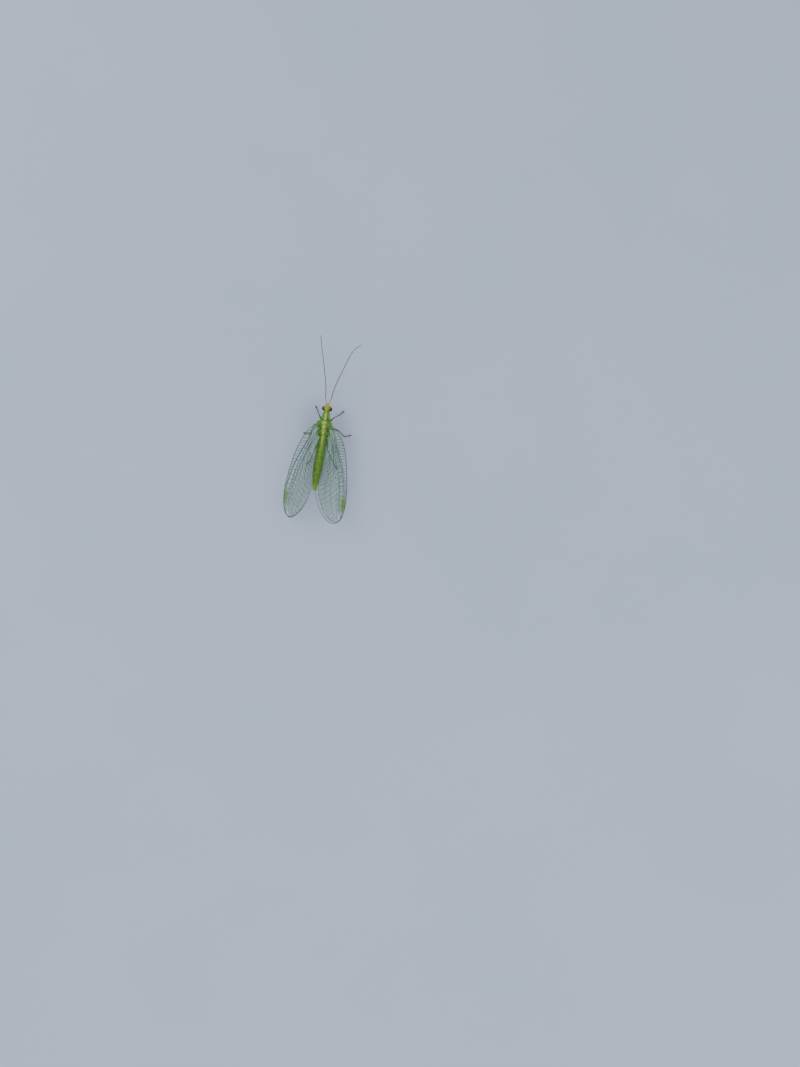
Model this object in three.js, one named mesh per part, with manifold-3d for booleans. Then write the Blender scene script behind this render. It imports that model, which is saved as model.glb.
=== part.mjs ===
// Green lacewing at rest, life size, as a still museum model.
// Millimetres, +Z up. The head points along -Y, the wing tips along +Y,
// the insect's left side is +X, and its feet stand on Z = 0.

import * as THREE from 'three';
import { mergeVertices } from 'three/addons/utils/BufferGeometryUtils.js';
import Module from 'manifold-3d';

const wasm = await Module();
wasm.setup();

// Gaps between neighbouring pieces
const gap = 0.25;
const eyeGap = 0.14;

// Edges shorter than this, left where pieces were cut, are closed up
const finestDetail = 0.004;

// Planes across the body where one segment ends and the next begins
const neckY = -1.85;
const waistFrontY = -0.5;
const waistRearY = 0.72;
const abdomenY = 1.9;
const tailY = 9.76;

// Height of the body's axis over the floor, high at the thorax and low along the abdomen
const thoraxHeight = 2.8;
const abdomenHeight = 1.7;
const droopStart = 0.6;
const droopEnd = 4.6;

// The thorax and head sit a little to the right of the abdomen's line, and the tail a little to the left
const midlineX = -0.1;
const tailX = 0.08;

// Head
const headCentre = [0, -2.45, 2.8];
const headRadii = [0.55, 0.66, 0.56];
const muzzleCentre = [0, -2.9, 2.35];
const muzzleRadii = [0.36, 0.32, 0.44];
const lipCentre = [0, -3.0, 1.98];
const lipRadii = [0.25, 0.22, 0.24];
const eyeCentre = [0.48, -2.34, 2.86];
const eyeRadii = [0.32, 0.35, 0.4];
const eyeInnerX = 0.36;
const palpRadius = 0.12;

// Thorax
const shoulderCentre = [0.86, 0.05, 3.5];
const shoulderRadii = [0.32, 0.42, 0.27];
const hindShoulderCentre = [0.72, 1.2, 3.0];
const hindShoulderRadii = [0.3, 0.4, 0.26];

// Abdomen
const segmentCount = 9;
const grooveDepth = 0.05;

// Wings: slab thickness, height of the raised veins and their half-width
const wingThickness = 0.48;
const veinHeight = 0.11;
const veinHalfWidth = 0.13;

// Antennae
const antennaRadius = 0.25;
const antennaTipRadius = 0.12;

// Legs
const coxaRadius = 0.29;
const femurRadius = 0.27;
const tibiaRadius = 0.25;
const tarsusRadius = 0.27;
const tarsusHeight = 0.19;
const clawRadius = 0.1;

const green = new THREE.Color(0x5f9a24);
const darkGreen = new THREE.Color(0x4b8420);
const yellowGreen = new THREE.Color(0x86b52c);
const bronze = new THREE.Color(0x4a2412);
const greyBrown = new THREE.Color(0x6d665c);
const legGrey = new THREE.Color(0x66724f);
const wingGrey = new THREE.Color(0xa9bdb0);

// A smooth curve through a few [position, value] stops
function profile(stops) {
  const last = stops.length - 1;
  const slopeAt = (index) => {
    const before = stops[Math.max(index - 1, 0)];
    const after = stops[Math.min(index + 1, last)];
    return (after[1] - before[1]) / (after[0] - before[0]);
  };
  return (position) => {
    const x = THREE.MathUtils.clamp(position, stops[0][0], stops[last][0]);
    let index = 0;
    while (index < last - 1 && stops[index + 1][0] < x) {
      index += 1;
    }
    const [x0, v0] = stops[index];
    const [x1, v1] = stops[index + 1];
    const span = x1 - x0;
    const t = (x - x0) / span;
    const rise = v1 - v0;
    const start = slopeAt(index) * span;
    const end = slopeAt(index + 1) * span;
    return v0 + t * (start + t * (3 * rise - 2 * start - end + t * (start + end - 2 * rise)));
  };
}

// Turns a closed geometry into a solid with its faces pointing out
function solidOf(geometry) {
  const bare = geometry.clone();
  bare.deleteAttribute('normal');
  bare.deleteAttribute('uv');
  const merged = mergeVertices(bare, 1e-5);
  const points = merged.attributes.position.array;
  const index = merged.index.array;
  const triangles = [];
  let volume = 0;
  const a = new THREE.Vector3();
  const b = new THREE.Vector3();
  const c = new THREE.Vector3();
  for (let i = 0; i < index.length; i += 3) {
    const [i0, i1, i2] = [index[i], index[i + 1], index[i + 2]];
    if (i0 !== i1 && i1 !== i2 && i2 !== i0) {
      triangles.push([i0, i1, i2]);
      a.fromArray(points, 3 * i0);
      b.fromArray(points, 3 * i1);
      c.fromArray(points, 3 * i2);
      volume += a.dot(b.cross(c));
    }
  }
  const outward = volume > 0 ? triangles : triangles.map(([i0, i1, i2]) => [i0, i2, i1]);
  const mesh = new wasm.Mesh({
    numProp: 3,
    vertProperties: Float32Array.from(points),
    triVerts: Uint32Array.from(outward.flat()),
  });
  return new wasm.Manifold(mesh);
}

// Keeps the one largest closed surface of a solid
function largestOf(solid) {
  const pieces = solid.decompose();
  return pieces.reduce((best, piece) => (piece.volume() > best.volume() ? piece : best));
}

// Draws the ends of every very short edge together, so that no sliver of a face is left where pieces were cut
function withoutSlivers(solid) {
  const { numProp, vertProperties, triVerts } = solid.simplify(finestDetail).getMesh();
  const home = Array.from({ length: vertProperties.length / numProp }, (_, vertex) => vertex);
  const homeOf = (vertex) => {
    let found = vertex;
    while (home[found] !== found) {
      found = home[found];
    }
    return found;
  };
  const pointOf = (vertex) => new THREE.Vector3().fromArray(vertProperties, vertex * numProp);
  const corners = [];
  for (let i = 0; i < triVerts.length; i += 3) {
    corners.push([triVerts[i], triVerts[i + 1], triVerts[i + 2]]);
  }
  for (const [a, b, c] of corners) {
    for (const [from, to] of [[a, b], [b, c], [c, a]]) {
      const [start, end] = [homeOf(from), homeOf(to)];
      if (start !== end && pointOf(start).distanceTo(pointOf(end)) < finestDetail) {
        home[Math.max(start, end)] = Math.min(start, end);
      }
    }
  }
  const kept = new Map();
  for (const corner of corners) {
    const face = corner.map(homeOf);
    if (new Set(face).size === 3) {
      const key = [...face].sort((p, q) => p - q).join(' ');
      if (kept.has(key)) {
        kept.delete(key);
      } else {
        kept.set(key, face);
      }
    }
  }
  const mesh = new wasm.Mesh({ numProp, vertProperties, triVerts: Uint32Array.from([...kept.values()].flat()) });
  return new wasm.Manifold(mesh);
}

function joined(solids) {
  return solids.reduce((whole, solid) => whole.add(solid));
}

// An ellipsoid
function ball(centre, radii, grow = 0, across = 14, down = 10) {
  const geometry = new THREE.SphereGeometry(1, across, down);
  geometry.rotateX(Math.PI / 2);
  geometry.scale(radii[0] + grow, radii[1] + grow, radii[2] + grow);
  geometry.translate(centre[0], centre[1], centre[2]);
  return solidOf(geometry);
}

// A straight bar with round ends that tapers from one point to another
function bar(from, to, startRadius, endRadius, grow = 0, sides = 7, capSteps = 2) {
  const start = new THREE.Vector3(...from);
  const end = new THREE.Vector3(...to);
  const length = start.distanceTo(end);
  const r0 = startRadius + grow;
  const r1 = endRadius + grow;
  const outline = [];
  for (let i = 0; i <= capSteps; i += 1) {
    const angle = (Math.PI / 2) * (i / capSteps);
    outline.push(new THREE.Vector2(r0 * Math.sin(angle), -r0 * Math.cos(angle)));
  }
  for (let i = capSteps; i >= 0; i -= 1) {
    const angle = (Math.PI / 2) * (i / capSteps);
    outline.push(new THREE.Vector2(r1 * Math.sin(angle), length + r1 * Math.cos(angle)));
  }
  const geometry = new THREE.LatheGeometry(outline, sides);
  const along = end.sub(start).normalize();
  const turn = new THREE.Quaternion().setFromUnitVectors(new THREE.Vector3(0, 1, 0), along);
  geometry.applyQuaternion(turn);
  geometry.translate(start.x, start.y, start.z);
  return solidOf(geometry);
}

// A closed body along Y, with an elliptical section of its own at every y
function loft(front, back, rows, sides, section, grow = 0) {
  const geometry = new THREE.CylinderGeometry(1, 1, 1, sides, rows);
  const position = geometry.attributes.position;
  for (let i = 0; i < position.count; i += 1) {
    const share = 0.5 - position.getY(i);
    const y = THREE.MathUtils.lerp(front - grow, back + grow, share);
    const { centreX, halfWidth, top, bottom } = section(THREE.MathUtils.clamp(y, front, back));
    const middle = (top + bottom) / 2;
    const halfHeight = (top - bottom) / 2;
    const x = centreX + position.getX(i) * (halfWidth + grow);
    const z = middle + position.getZ(i) * (halfHeight + grow);
    position.setXYZ(i, x, y, z);
  }
  return solidOf(geometry);
}

// A round tube along a curve, with its own radius at every share of the length
function tube(curve, radiusAt, sides, rows) {
  const geometry = new THREE.CylinderGeometry(1, 1, 1, sides, rows);
  const position = geometry.attributes.position;
  const up = new THREE.Vector3(0, 0, 1);
  const point = new THREE.Vector3();
  const across = new THREE.Vector3();
  const over = new THREE.Vector3();
  for (let i = 0; i < position.count; i += 1) {
    const share = THREE.MathUtils.clamp(0.5 - position.getY(i), 0, 1);
    const radius = radiusAt(share);
    const tangent = curve.getTangentAt(share);
    curve.getPointAt(share, point);
    across.crossVectors(up, tangent).normalize();
    over.crossVectors(tangent, across);
    point.addScaledVector(across, position.getX(i) * radius);
    point.addScaledVector(over, position.getZ(i) * radius);
    position.setXYZ(i, point.x, point.y, point.z);
  }
  return solidOf(geometry);
}

// Cuts a solid square across the body, and keeps the part between two planes
function between(solid, front, back) {
  const middle = (front + back) / 2;
  const block = new THREE.BoxGeometry(20, back - front, 20);
  block.translate(0, middle, 0);
  return solid.intersect(solidOf(block));
}

// A place given by its distance from the midline, on the left side (1) or the right side (-1)
function onSide([x, y, z], side) {
  return [midlineX + x * side, y, z];
}

const axisDrop = thoraxHeight - abdomenHeight;

function axisHeight(y) {
  return thoraxHeight - axisDrop * THREE.MathUtils.smoothstep(y, droopStart, droopEnd);
}

// Head: cranium, muzzle, lip and two pairs of palps, with a pocket for each eye
function headShape(grow) {
  const pieces = [
    ball(onSide(headCentre, 1), headRadii, grow, 16, 10),
    ball(onSide(muzzleCentre, 1), muzzleRadii, grow, 12, 8),
    ball(onSide(lipCentre, 1), lipRadii, grow, 10, 6),
  ];
  for (const side of [-1, 1]) {
    const cheek = onSide([0.27, -2.95, 1.98], side);
    const elbow = onSide([0.36, -3.22, 1.62], side);
    const palpTip = onSide([0.3, -3.36, 1.3], side);
    pieces.push(bar(cheek, elbow, palpRadius, palpRadius, grow, 6, 1));
    pieces.push(bar(elbow, palpTip, palpRadius, palpRadius * 0.6, grow, 6, 1));
    const chin = onSide([0.12, -2.85, 1.9], side);
    const innerTip = onSide([0.14, -3.0, 1.42], side);
    pieces.push(bar(chin, innerTip, palpRadius, palpRadius * 0.6, grow, 6, 1));
  }
  return joined(pieces);
}

function eyeShape(side, grow) {
  const whole = ball(onSide(eyeCentre, side), eyeRadii, grow, 14, 10);
  const blockSize = 4;
  const block = new THREE.BoxGeometry(blockSize, blockSize, blockSize);
  block.translate(...onSide([eyeInnerX - grow + blockSize / 2, eyeCentre[1], eyeCentre[2]], side));
  return whole.intersect(solidOf(block));
}

function headSolid() {
  const cut = between(headShape(0), -9, neckY - gap / 2);
  return cut.subtract(eyeShape(-1, eyeGap)).subtract(eyeShape(1, eyeGap));
}

// Prothorax: a narrow saddle between head and wings
const prothoraxWidth = profile([[neckY, 0.42], [-1.5, 0.53], [-0.9, 0.58], [waistFrontY, 0.6]]);
const prothoraxTop = profile([[neckY, 3.22], [-1.55, 3.36], [-1.1, 3.42], [waistFrontY, 3.5]]);
const prothoraxBottom = profile([[neckY, 2.36], [-1.4, 2.2], [waistFrontY, 2.05]]);

function prothoraxShape(grow) {
  const section = (y) => ({
    centreX: midlineX,
    halfWidth: prothoraxWidth(y),
    top: prothoraxTop(y),
    bottom: prothoraxBottom(y),
  });
  return loft(neckY + gap / 2, waistFrontY - gap / 2, 8, 16, section, grow);
}

// Mesothorax: the deep middle ring, with two lobes and a shield on its back
const mesothoraxWidth = profile([[waistFrontY, 0.68], [-0.1, 0.84], [0.4, 0.84], [waistRearY, 0.78]]);
const mesothoraxTop = profile([[waistFrontY, 3.58], [0, 3.82], [0.45, 3.8], [waistRearY, 3.62]]);
const mesothoraxBottom = profile([[waistFrontY, 2.0], [0.1, 1.82], [waistRearY, 1.85]]);

function mesothoraxShape(grow) {
  const section = (y) => ({
    centreX: midlineX,
    halfWidth: mesothoraxWidth(y),
    top: mesothoraxTop(y),
    bottom: mesothoraxBottom(y),
  });
  const front = waistFrontY + gap / 2;
  const back = waistRearY - gap / 2;
  const pieces = [loft(front, back, 6, 16, section, grow)];
  for (const side of [-1, 1]) {
    pieces.push(ball(onSide([0.36, -0.05, 3.5], side), [0.4, 0.46, 0.42], grow, 12, 8));
    pieces.push(ball(onSide(shoulderCentre, side), shoulderRadii, grow, 12, 8));
  }
  pieces.push(ball(onSide([0, 0.42, 3.6], 1), [0.3, 0.3, 0.34], grow, 12, 8));
  return between(joined(pieces), front - grow, back + grow);
}

// Metathorax: the ring that carries the hind wings and hind legs
const metathoraxWidth = profile([[waistRearY, 0.75], [1.2, 0.72], [abdomenY, 0.52]]);
const metathoraxTop = profile([[waistRearY, 3.5], [1.2, 3.4], [abdomenY, 3.04]]);
const metathoraxBottom = profile([[waistRearY, 1.85], [1.3, 1.8], [abdomenY, 1.98]]);

function metathoraxShape(grow) {
  const section = (y) => ({
    centreX: midlineX,
    halfWidth: metathoraxWidth(y),
    top: metathoraxTop(y),
    bottom: metathoraxBottom(y),
  });
  const front = waistRearY + gap / 2;
  const back = abdomenY - gap / 2;
  const pieces = [loft(front, back, 6, 16, section, grow)];
  for (const side of [-1, 1]) {
    pieces.push(ball(onSide(hindShoulderCentre, side), hindShoulderRadii, grow, 12, 8));
  }
  return between(joined(pieces), front - grow, back + grow);
}

// Abdomen: nine rings with a shallow groove between them, tapering to the tail
const abdomenRadius = profile([
  [abdomenY, 0.46], [2.6, 0.6], [3.5, 0.7], [5.1, 0.7], [6.8, 0.6], [8.0, 0.5], [9.1, 0.38], [tailY, 0.27],
]);

function abdomenShape(grow) {
  const front = abdomenY + gap / 2;
  const length = tailY - front;
  const rowsPerSegment = 4;
  const section = (y) => {
    const share = (y - front) / length;
    const phase = (share * segmentCount) % 1;
    const groove = phase < 0.01 || phase > 0.99 ? grooveDepth : 0;
    const tail = (y - (tailY - 0.3)) / 0.3;
    const round = tail > 0 ? Math.sqrt(Math.max(1 - tail * tail, 0.05)) : 1;
    const radius = (abdomenRadius(y) - groove) * round;
    const centreX = THREE.MathUtils.lerp(midlineX, tailX, share);
    return { centreX, halfWidth: radius, top: axisHeight(y) + radius, bottom: axisHeight(y) - radius };
  };
  return loft(front, tailY, segmentCount * rowsPerSegment, 14, section, grow);
}

// Antennae: long, thin and held forward, bowing outwards
const antennaRoutes = {
  left: [[0.28, -2.8, 3.02], [0.32, -3.6, 3.2], [0.45, -5.2, 3.5], [1.07, -7.9, 3.75],
    [1.98, -11.2, 3.55], [2.38, -12.75, 3.3]],
  right: [[-0.48, -2.8, 3.02], [-0.54, -3.6, 3.2], [-0.8, -5.3, 3.5], [-1.71, -8.25, 3.75],
    [-2.67, -11.0, 3.55], [-3.73, -12.16, 3.3]],
};

function antennaSolid(route, headGrown) {
  const curve = new THREE.CatmullRomCurve3(route.map((point) => new THREE.Vector3(...point)));
  const radiusAt = (share) => {
    const taper = THREE.MathUtils.lerp(antennaRadius, antennaTipRadius, THREE.MathUtils.smoothstep(share, 0.7, 1));
    return share > 0.995 ? taper * 0.55 : taper;
  };
  return tube(curve, radiusAt, 8, 28).subtract(headGrown);
}

// Legs: coxa, femur and tibia, a foot that lies flat on the floor, and two claws
const legRoots = {
  front: { coxa: [0.4, -0.95, 2.3], hip: [0.46, -0.5, 1.35] },
  middle: { coxa: [0.42, 0.15, 2.1], hip: [0.5, 0.3, 1.4] },
  hind: { coxa: [0.42, 1.3, 2.1], hip: [0.46, 1.6, 1.3] },
};
const legPoses = {
  front_left: { knee: [0.98, -1.26, 1.75], ankle: [1.6, -2.23], toe: [1.91, -2.73] },
  front_right: { knee: [-1.1, -1.2, 1.75], ankle: [-1.8, -2.03], toe: [-2.25, -2.56] },
  middle_left: { knee: [1.64, 0.33, 2.0], ankle: [2.2, 1.42], toe: [3.02, 1.42] },
  middle_right: { knee: [-1.79, 0.44, 2.0], ankle: [-2.97, 1.05], toe: [-3.77, 0.8] },
  hind_left: { knee: [0.92, 3.4, 0.92], ankle: [1.5, 5.28], toe: [2.01, 5.9] },
  hind_right: { knee: [-0.82, 3.42, 0.88], ankle: [-1.93, 5.12], toe: [-2.52, 5.96] },
};

function legSolid(pair, sideName, side, neighbours) {
  const coxa = onSide(legRoots[pair].coxa, side);
  const hip = onSide(legRoots[pair].hip, side);
  const { knee, ankle, toe } = legPoses[`${pair}_${sideName}`];
  const heel = [ankle[0], ankle[1], tarsusHeight + 0.06];
  const sole = [toe[0], toe[1], tarsusHeight];
  const forward = new THREE.Vector2(toe[0] - ankle[0], toe[1] - ankle[1]).normalize();
  const pieces = [
    bar(coxa, hip, coxaRadius, femurRadius),
    bar(hip, knee, femurRadius, femurRadius * 0.94),
    bar(knee, heel, tibiaRadius, tibiaRadius * 0.94),
    bar(heel, sole, tarsusRadius * 0.93, tarsusRadius * 0.93),
  ];
  for (const splay of [-0.45, 0.45]) {
    const way = forward.clone().rotateAround(new THREE.Vector2(), splay);
    const clawTip = [toe[0] + way.x * 0.42, toe[1] + way.y * 0.42, 0.08];
    pieces.push(bar(sole, clawTip, clawRadius * 1.5, clawRadius * 0.6, 0, 6, 1));
  }
  const whole = joined(pieces);
  const ground = new THREE.BoxGeometry(30, 60, 4);
  ground.translate(0, 0, -2);
  const standing = whole.subtract(solidOf(ground));
  return neighbours.reduce((leg, neighbour) => leg.subtract(neighbour), standing);
}

// Wings. A wing lies on a tilted surface that is laid out by its root, its tip and its roll.
// u runs from root to tip, v from the front margin to the rear one.
const forewing = {
  frontWidth: 2.2, frontPeak: 0.6, rearWidth: 2.25, rearPeak: 0.68, rootHalfWidth: 0.26,
  veins: [
    profile([[0, 0.3], [0.2, 0.25], [0.5, 0.18], [0.7, 0.14], [1, 0.12]]),
    profile([[0, 0.46], [0.2, 0.37], [0.5, 0.3], [0.8, 0.28], [1, 0.36]]),
    profile([[0, 0.62], [0.25, 0.5], [0.8, 0.58], [1, 0.6]]),
    profile([[0, 0.8], [0.3, 0.7], [0.6, 0.76], [1, 0.8]]),
  ],
  crossings: 9, root: [0.98, 0.1, 3.62], lift: 0.32,
};
const hindwing = {
  frontWidth: 1.75, frontPeak: 0.62, rearWidth: 2.1, rearPeak: 0.66, rootHalfWidth: 0.25,
  veins: [
    profile([[0, 0.32], [0.3, 0.2], [0.7, 0.16], [1, 0.16]]),
    profile([[0, 0.55], [0.3, 0.42], [0.8, 0.36], [1, 0.42]]),
    profile([[0, 0.78], [0.3, 0.66], [0.8, 0.68], [1, 0.7]]),
  ],
  crossings: 8, root: [0.82, 1.2, 2.95], lift: 0,
};
const wingPlaces = {
  forewing_left: { kind: forewing, side: 1, tip: [2.78, 14.23, 2.6], roll: 32 },
  forewing_right: { kind: forewing, side: -1, tip: [-3.34, 14.18, 2.75], roll: 18 },
  hindwing_left: { kind: hindwing, side: 1, tip: [3.3, 14.11, 1.45], roll: 32 },
  hindwing_right: { kind: hindwing, side: -1, tip: [-3.75, 13.91, 1.7], roll: 18 },
};

// Distance from a wing's axis to one margin at share u of its length
function marginWidth(u, width, peak, rootHalfWidth, tipPower, rootPower) {
  if (u > peak) {
    const t = Math.min((u - peak) / (1 - peak), 1);
    return 0.1 + (width - 0.1) * (1 - t ** tipPower) ** (1 / tipPower);
  }
  const t = (peak - u) / peak;
  return rootHalfWidth + (width - rootHalfWidth) * (1 - t ** rootPower);
}

function wingSheet({ kind, side, tip, roll }) {
  const start = new THREE.Vector3(...onSide(kind.root, side));
  const along = new THREE.Vector3(...tip).sub(start);
  const length = along.length();
  along.normalize();
  const up = new THREE.Vector3(0, 0, 1);
  const outward = new THREE.Vector3().crossVectors(along, up).normalize().multiplyScalar(side);
  outward.applyAxisAngle(along, side * THREE.MathUtils.degToRad(roll));
  const normal = new THREE.Vector3().crossVectors(outward, along).multiplyScalar(side);
  const front = (u) => marginWidth(u, kind.frontWidth, kind.frontPeak, kind.rootHalfWidth, 2.3, 2.3);
  const rear = (u) => marginWidth(u, kind.rearWidth, kind.rearPeak, kind.rootHalfWidth, 1.8, 1.7);
  const chord = (u) => front(u) + rear(u);
  const place = (u, v, height) => {
    const across = front(u) - v * chord(u);
    const rise = kind.lift * THREE.MathUtils.smoothstep(u, 0, 0.12);
    const point = start.clone();
    point.addScaledVector(along, u * length);
    point.addScaledVector(outward, across);
    point.addScaledVector(normal, rise + height);
    return point;
  };
  return { length, chord, place };
}

// Shares of the length at which a crossing vein leaves the front margin, with its two foot lines
function crossingRows(kind, length) {
  const foot = (1.3 * veinHalfWidth) / length;
  const rows = [{ t: 0, crest: 0 }];
  for (let i = 0; i < kind.crossings; i += 1) {
    const t = THREE.MathUtils.lerp(0.09, 0.88, i / (kind.crossings - 1));
    rows.push({ t: t - foot, crest: 0 }, { t, crest: 1 }, { t: t + foot, crest: 0 });
  }
  rows.push({ t: 0.94, crest: 0 }, { t: 0.975, crest: 0 }, { t: 1, crest: 0 });
  return rows;
}

// A crossing vein runs straight behind the front margin, then sweeps towards the tip
function sweep(t, v) {
  return t + 0.72 * t * (1 - t) * THREE.MathUtils.smoothstep(v, 0.15, 1);
}

function wingSolid(placement) {
  const { kind } = placement;
  const sheet = wingSheet(placement);
  const rows = crossingRows(kind, sheet.length);
  const columnCount = 3 + 3 * kind.veins.length;
  const columnsAt = (t) => {
    const reach = Math.min(veinHalfWidth / sheet.chord(t), 0.05);
    const columns = [{ v: 0, crest: 1 }, { v: reach, crest: 0 }];
    for (const vein of kind.veins) {
      const v = vein(t);
      columns.push({ v: v - reach, crest: 0 }, { v, crest: 1 }, { v: v + reach, crest: 0 });
    }
    columns.push({ v: 1, crest: 0 });
    return columns;
  };
  const points = [];
  for (const face of [1, -1]) {
    for (const { t, crest: rowCrest } of rows) {
      for (const { v, crest } of columnsAt(t)) {
        const u = sweep(t, v);
        const edge = v === 1 ? 0 : rowCrest;
        const nearRoot = THREE.MathUtils.smoothstep(u, 0.02, 0.08);
        const nearTip = 1 - THREE.MathUtils.smoothstep(u, 0.9, 0.99);
        const rise = veinHeight * nearRoot * nearTip * Math.max(crest, edge);
        points.push(sheet.place(u, v, face * (wingThickness / 2 + rise)));
      }
    }
  }
  const faceSize = rows.length * columnCount;
  const at = (face, row, column) => face * faceSize + row * columnCount + column;
  const index = [];
  const quad = (a, b, c, d) => index.push(a, b, c, a, c, d);
  for (let row = 0; row < rows.length - 1; row += 1) {
    for (let column = 0; column < columnCount - 1; column += 1) {
      quad(at(0, row, column), at(0, row + 1, column), at(0, row + 1, column + 1), at(0, row, column + 1));
      index.push(at(1, row, column), at(1, row + 1, column + 1), at(1, row + 1, column));
      index.push(at(1, row, column), at(1, row, column + 1), at(1, row + 1, column + 1));
    }
    const end = columnCount - 1;
    quad(at(0, row, 0), at(1, row, 0), at(1, row + 1, 0), at(0, row + 1, 0));
    quad(at(0, row, end), at(0, row + 1, end), at(1, row + 1, end), at(1, row, end));
  }
  for (let column = 0; column < columnCount - 1; column += 1) {
    const last = rows.length - 1;
    quad(at(0, 0, column), at(0, 0, column + 1), at(1, 0, column + 1), at(1, 0, column));
    quad(at(0, last, column), at(1, last, column), at(1, last, column + 1), at(0, last, column + 1));
  }
  const geometry = new THREE.BufferGeometry();
  geometry.setAttribute('position', new THREE.Float32BufferAttribute(points.flatMap((p) => p.toArray()), 3));
  geometry.setIndex(index);
  return solidOf(geometry);
}

// One named mesh for each piece
const insect = new THREE.Group();

function addPiece(name, solid, color, roughness) {
  const { numProp, vertProperties, triVerts } = withoutSlivers(largestOf(solid)).getMesh();
  const geometry = new THREE.BufferGeometry();
  geometry.setAttribute('position', new THREE.BufferAttribute(Float32Array.from(vertProperties), numProp));
  geometry.setIndex(new THREE.BufferAttribute(Uint32Array.from(triVerts), 1));
  geometry.computeVertexNormals();
  const material = new THREE.MeshStandardMaterial({ color, roughness, metalness: 0 });
  const mesh = new THREE.Mesh(geometry, material);
  mesh.name = name;
  insect.add(mesh);
}

const headGrown = headShape(gap);
const prothoraxGrown = prothoraxShape(gap);
const mesothoraxGrown = mesothoraxShape(gap);
const metathoraxGrown = metathoraxShape(gap);
const abdomenGrown = abdomenShape(gap);
const trunkGrown = [prothoraxGrown, mesothoraxGrown, metathoraxGrown, abdomenGrown];

addPiece('head', headSolid(), yellowGreen, 0.5);
addPiece('prothorax', prothoraxShape(0), green, 0.5);
addPiece('mesothorax', mesothoraxShape(0), green, 0.5);
addPiece('metathorax', metathoraxShape(0), green, 0.5);
addPiece('abdomen', abdomenShape(0), darkGreen, 0.5);

for (const [name, side] of [['left', 1], ['right', -1]]) {
  addPiece(`eye_${name}`, eyeShape(side, 0), bronze, 0.2);
  addPiece(`antenna_${name}`, antennaSolid(antennaRoutes[name], headGrown), greyBrown, 0.7);
  for (const pair of ['front', 'middle', 'hind']) {
    addPiece(`leg_${pair}_${name}`, legSolid(pair, name, side, trunkGrown), legGrey, 0.6);
  }
}

for (const [name, placement] of Object.entries(wingPlaces)) {
  const wing = trunkGrown.reduce((solid, neighbour) => solid.subtract(neighbour), wingSolid(placement));
  addPiece(name, wing, wingGrey, 0.35);
}

// The origin is on the floor, under the middle of the whole insect
const bounds = new THREE.Box3().setFromObject(insect);
const centre = bounds.getCenter(new THREE.Vector3());
insect.position.set(-centre.x, -centre.y, -bounds.min.z);

export default insect;
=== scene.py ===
"""Green lacewing at rest, life size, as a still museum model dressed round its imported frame."""
import math

import bpy
import numpy as np
from bpy.props import FloatProperty, FloatVectorProperty, IntProperty, PointerProperty
from mathutils import Matrix, Vector, noise


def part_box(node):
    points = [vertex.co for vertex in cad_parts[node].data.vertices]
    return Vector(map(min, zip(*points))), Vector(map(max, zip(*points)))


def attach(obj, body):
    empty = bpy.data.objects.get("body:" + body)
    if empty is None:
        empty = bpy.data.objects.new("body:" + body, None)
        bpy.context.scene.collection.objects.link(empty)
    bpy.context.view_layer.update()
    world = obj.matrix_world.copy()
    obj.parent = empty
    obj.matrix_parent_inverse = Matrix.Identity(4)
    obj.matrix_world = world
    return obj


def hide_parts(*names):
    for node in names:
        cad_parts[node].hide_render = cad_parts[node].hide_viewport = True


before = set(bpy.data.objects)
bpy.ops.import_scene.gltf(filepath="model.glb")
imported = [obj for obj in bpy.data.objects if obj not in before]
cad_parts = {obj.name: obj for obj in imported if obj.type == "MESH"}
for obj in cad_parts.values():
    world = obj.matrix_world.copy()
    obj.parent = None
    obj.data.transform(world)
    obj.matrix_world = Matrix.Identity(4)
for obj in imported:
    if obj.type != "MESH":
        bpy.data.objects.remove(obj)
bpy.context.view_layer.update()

bl_info = {
    "name": "Green Lacewing",
    "version": (1, 0, 0),
    "blender": (4, 5, 0),
    "location": "3D View > Sidebar > Lacewing",
    "description": "Builds a life-size green lacewing over its packed frame",
    "category": "Object",
}

# The insect's own frame is in millimetres: the head points along -Y, its left side is +X, the floor is Z = 0
MM = 0.001
MIDLINE_X = -0.1
TAIL_X = 0.08
SIDE_BOW = 0.065
NECK_Y = -1.85
SEGMENT_GAP = 0.25
ABDOMEN_Y = 1.9
TAIL_Y = 9.76
THORAX_HEIGHT = 2.8
ABDOMEN_DROP = 1.1
DROOP_START = 0.6
DROOP_END = 4.6
SEGMENTS = 9
# The trunk's shell starts inside the head, changes from thorax to abdomen, and ends in a round cap
TRUNK_START = -2.1
THORAX_END = 1.95
TAIL_CAP_START = 9.62
TAIL_CAP_LENGTH = 0.2

# Half-width, top and bottom of the trunk, each as [place along the body, value] stops
TRUNK_WIDTH = [[-2.1, 0.36], [-1.9, 0.41], [-1.75, 0.46], [-1.5, 0.54], [-0.9, 0.6], [-0.62, 0.6],
               [-0.45, 0.68], [-0.1, 0.82], [0.4, 0.82], [0.75, 0.76], [1.2, 0.75], [1.65, 0.64],
               [1.95, 0.55]]
TRUNK_TOP = [[-2.1, 3.1], [-1.9, 3.12], [-1.72, 3.2], [-1.5, 3.3], [-1.1, 3.36], [-0.62, 3.38],
             [-0.4, 3.6], [0, 3.74], [0.45, 3.7], [0.75, 3.55], [1.2, 3.4], [1.7, 3.12], [1.95, 2.99]]
TRUNK_BOTTOM = [[-2.1, 2.42], [-1.9, 2.38], [-1.4, 2.2], [-0.6, 2.06], [-0.4, 1.98], [0.1, 1.82],
                [0.8, 1.83], [1.3, 1.82], [1.7, 1.93], [1.95, 2.06]]
ABDOMEN_RADIUS = [[1.95, 0.52], [2.6, 0.62], [3.5, 0.68], [5.1, 0.72], [6.0, 0.71], [7.1, 0.63],
                  [8.2, 0.51], [9.1, 0.37], [9.55, 0.3], [9.76, 0.26]]

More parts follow.
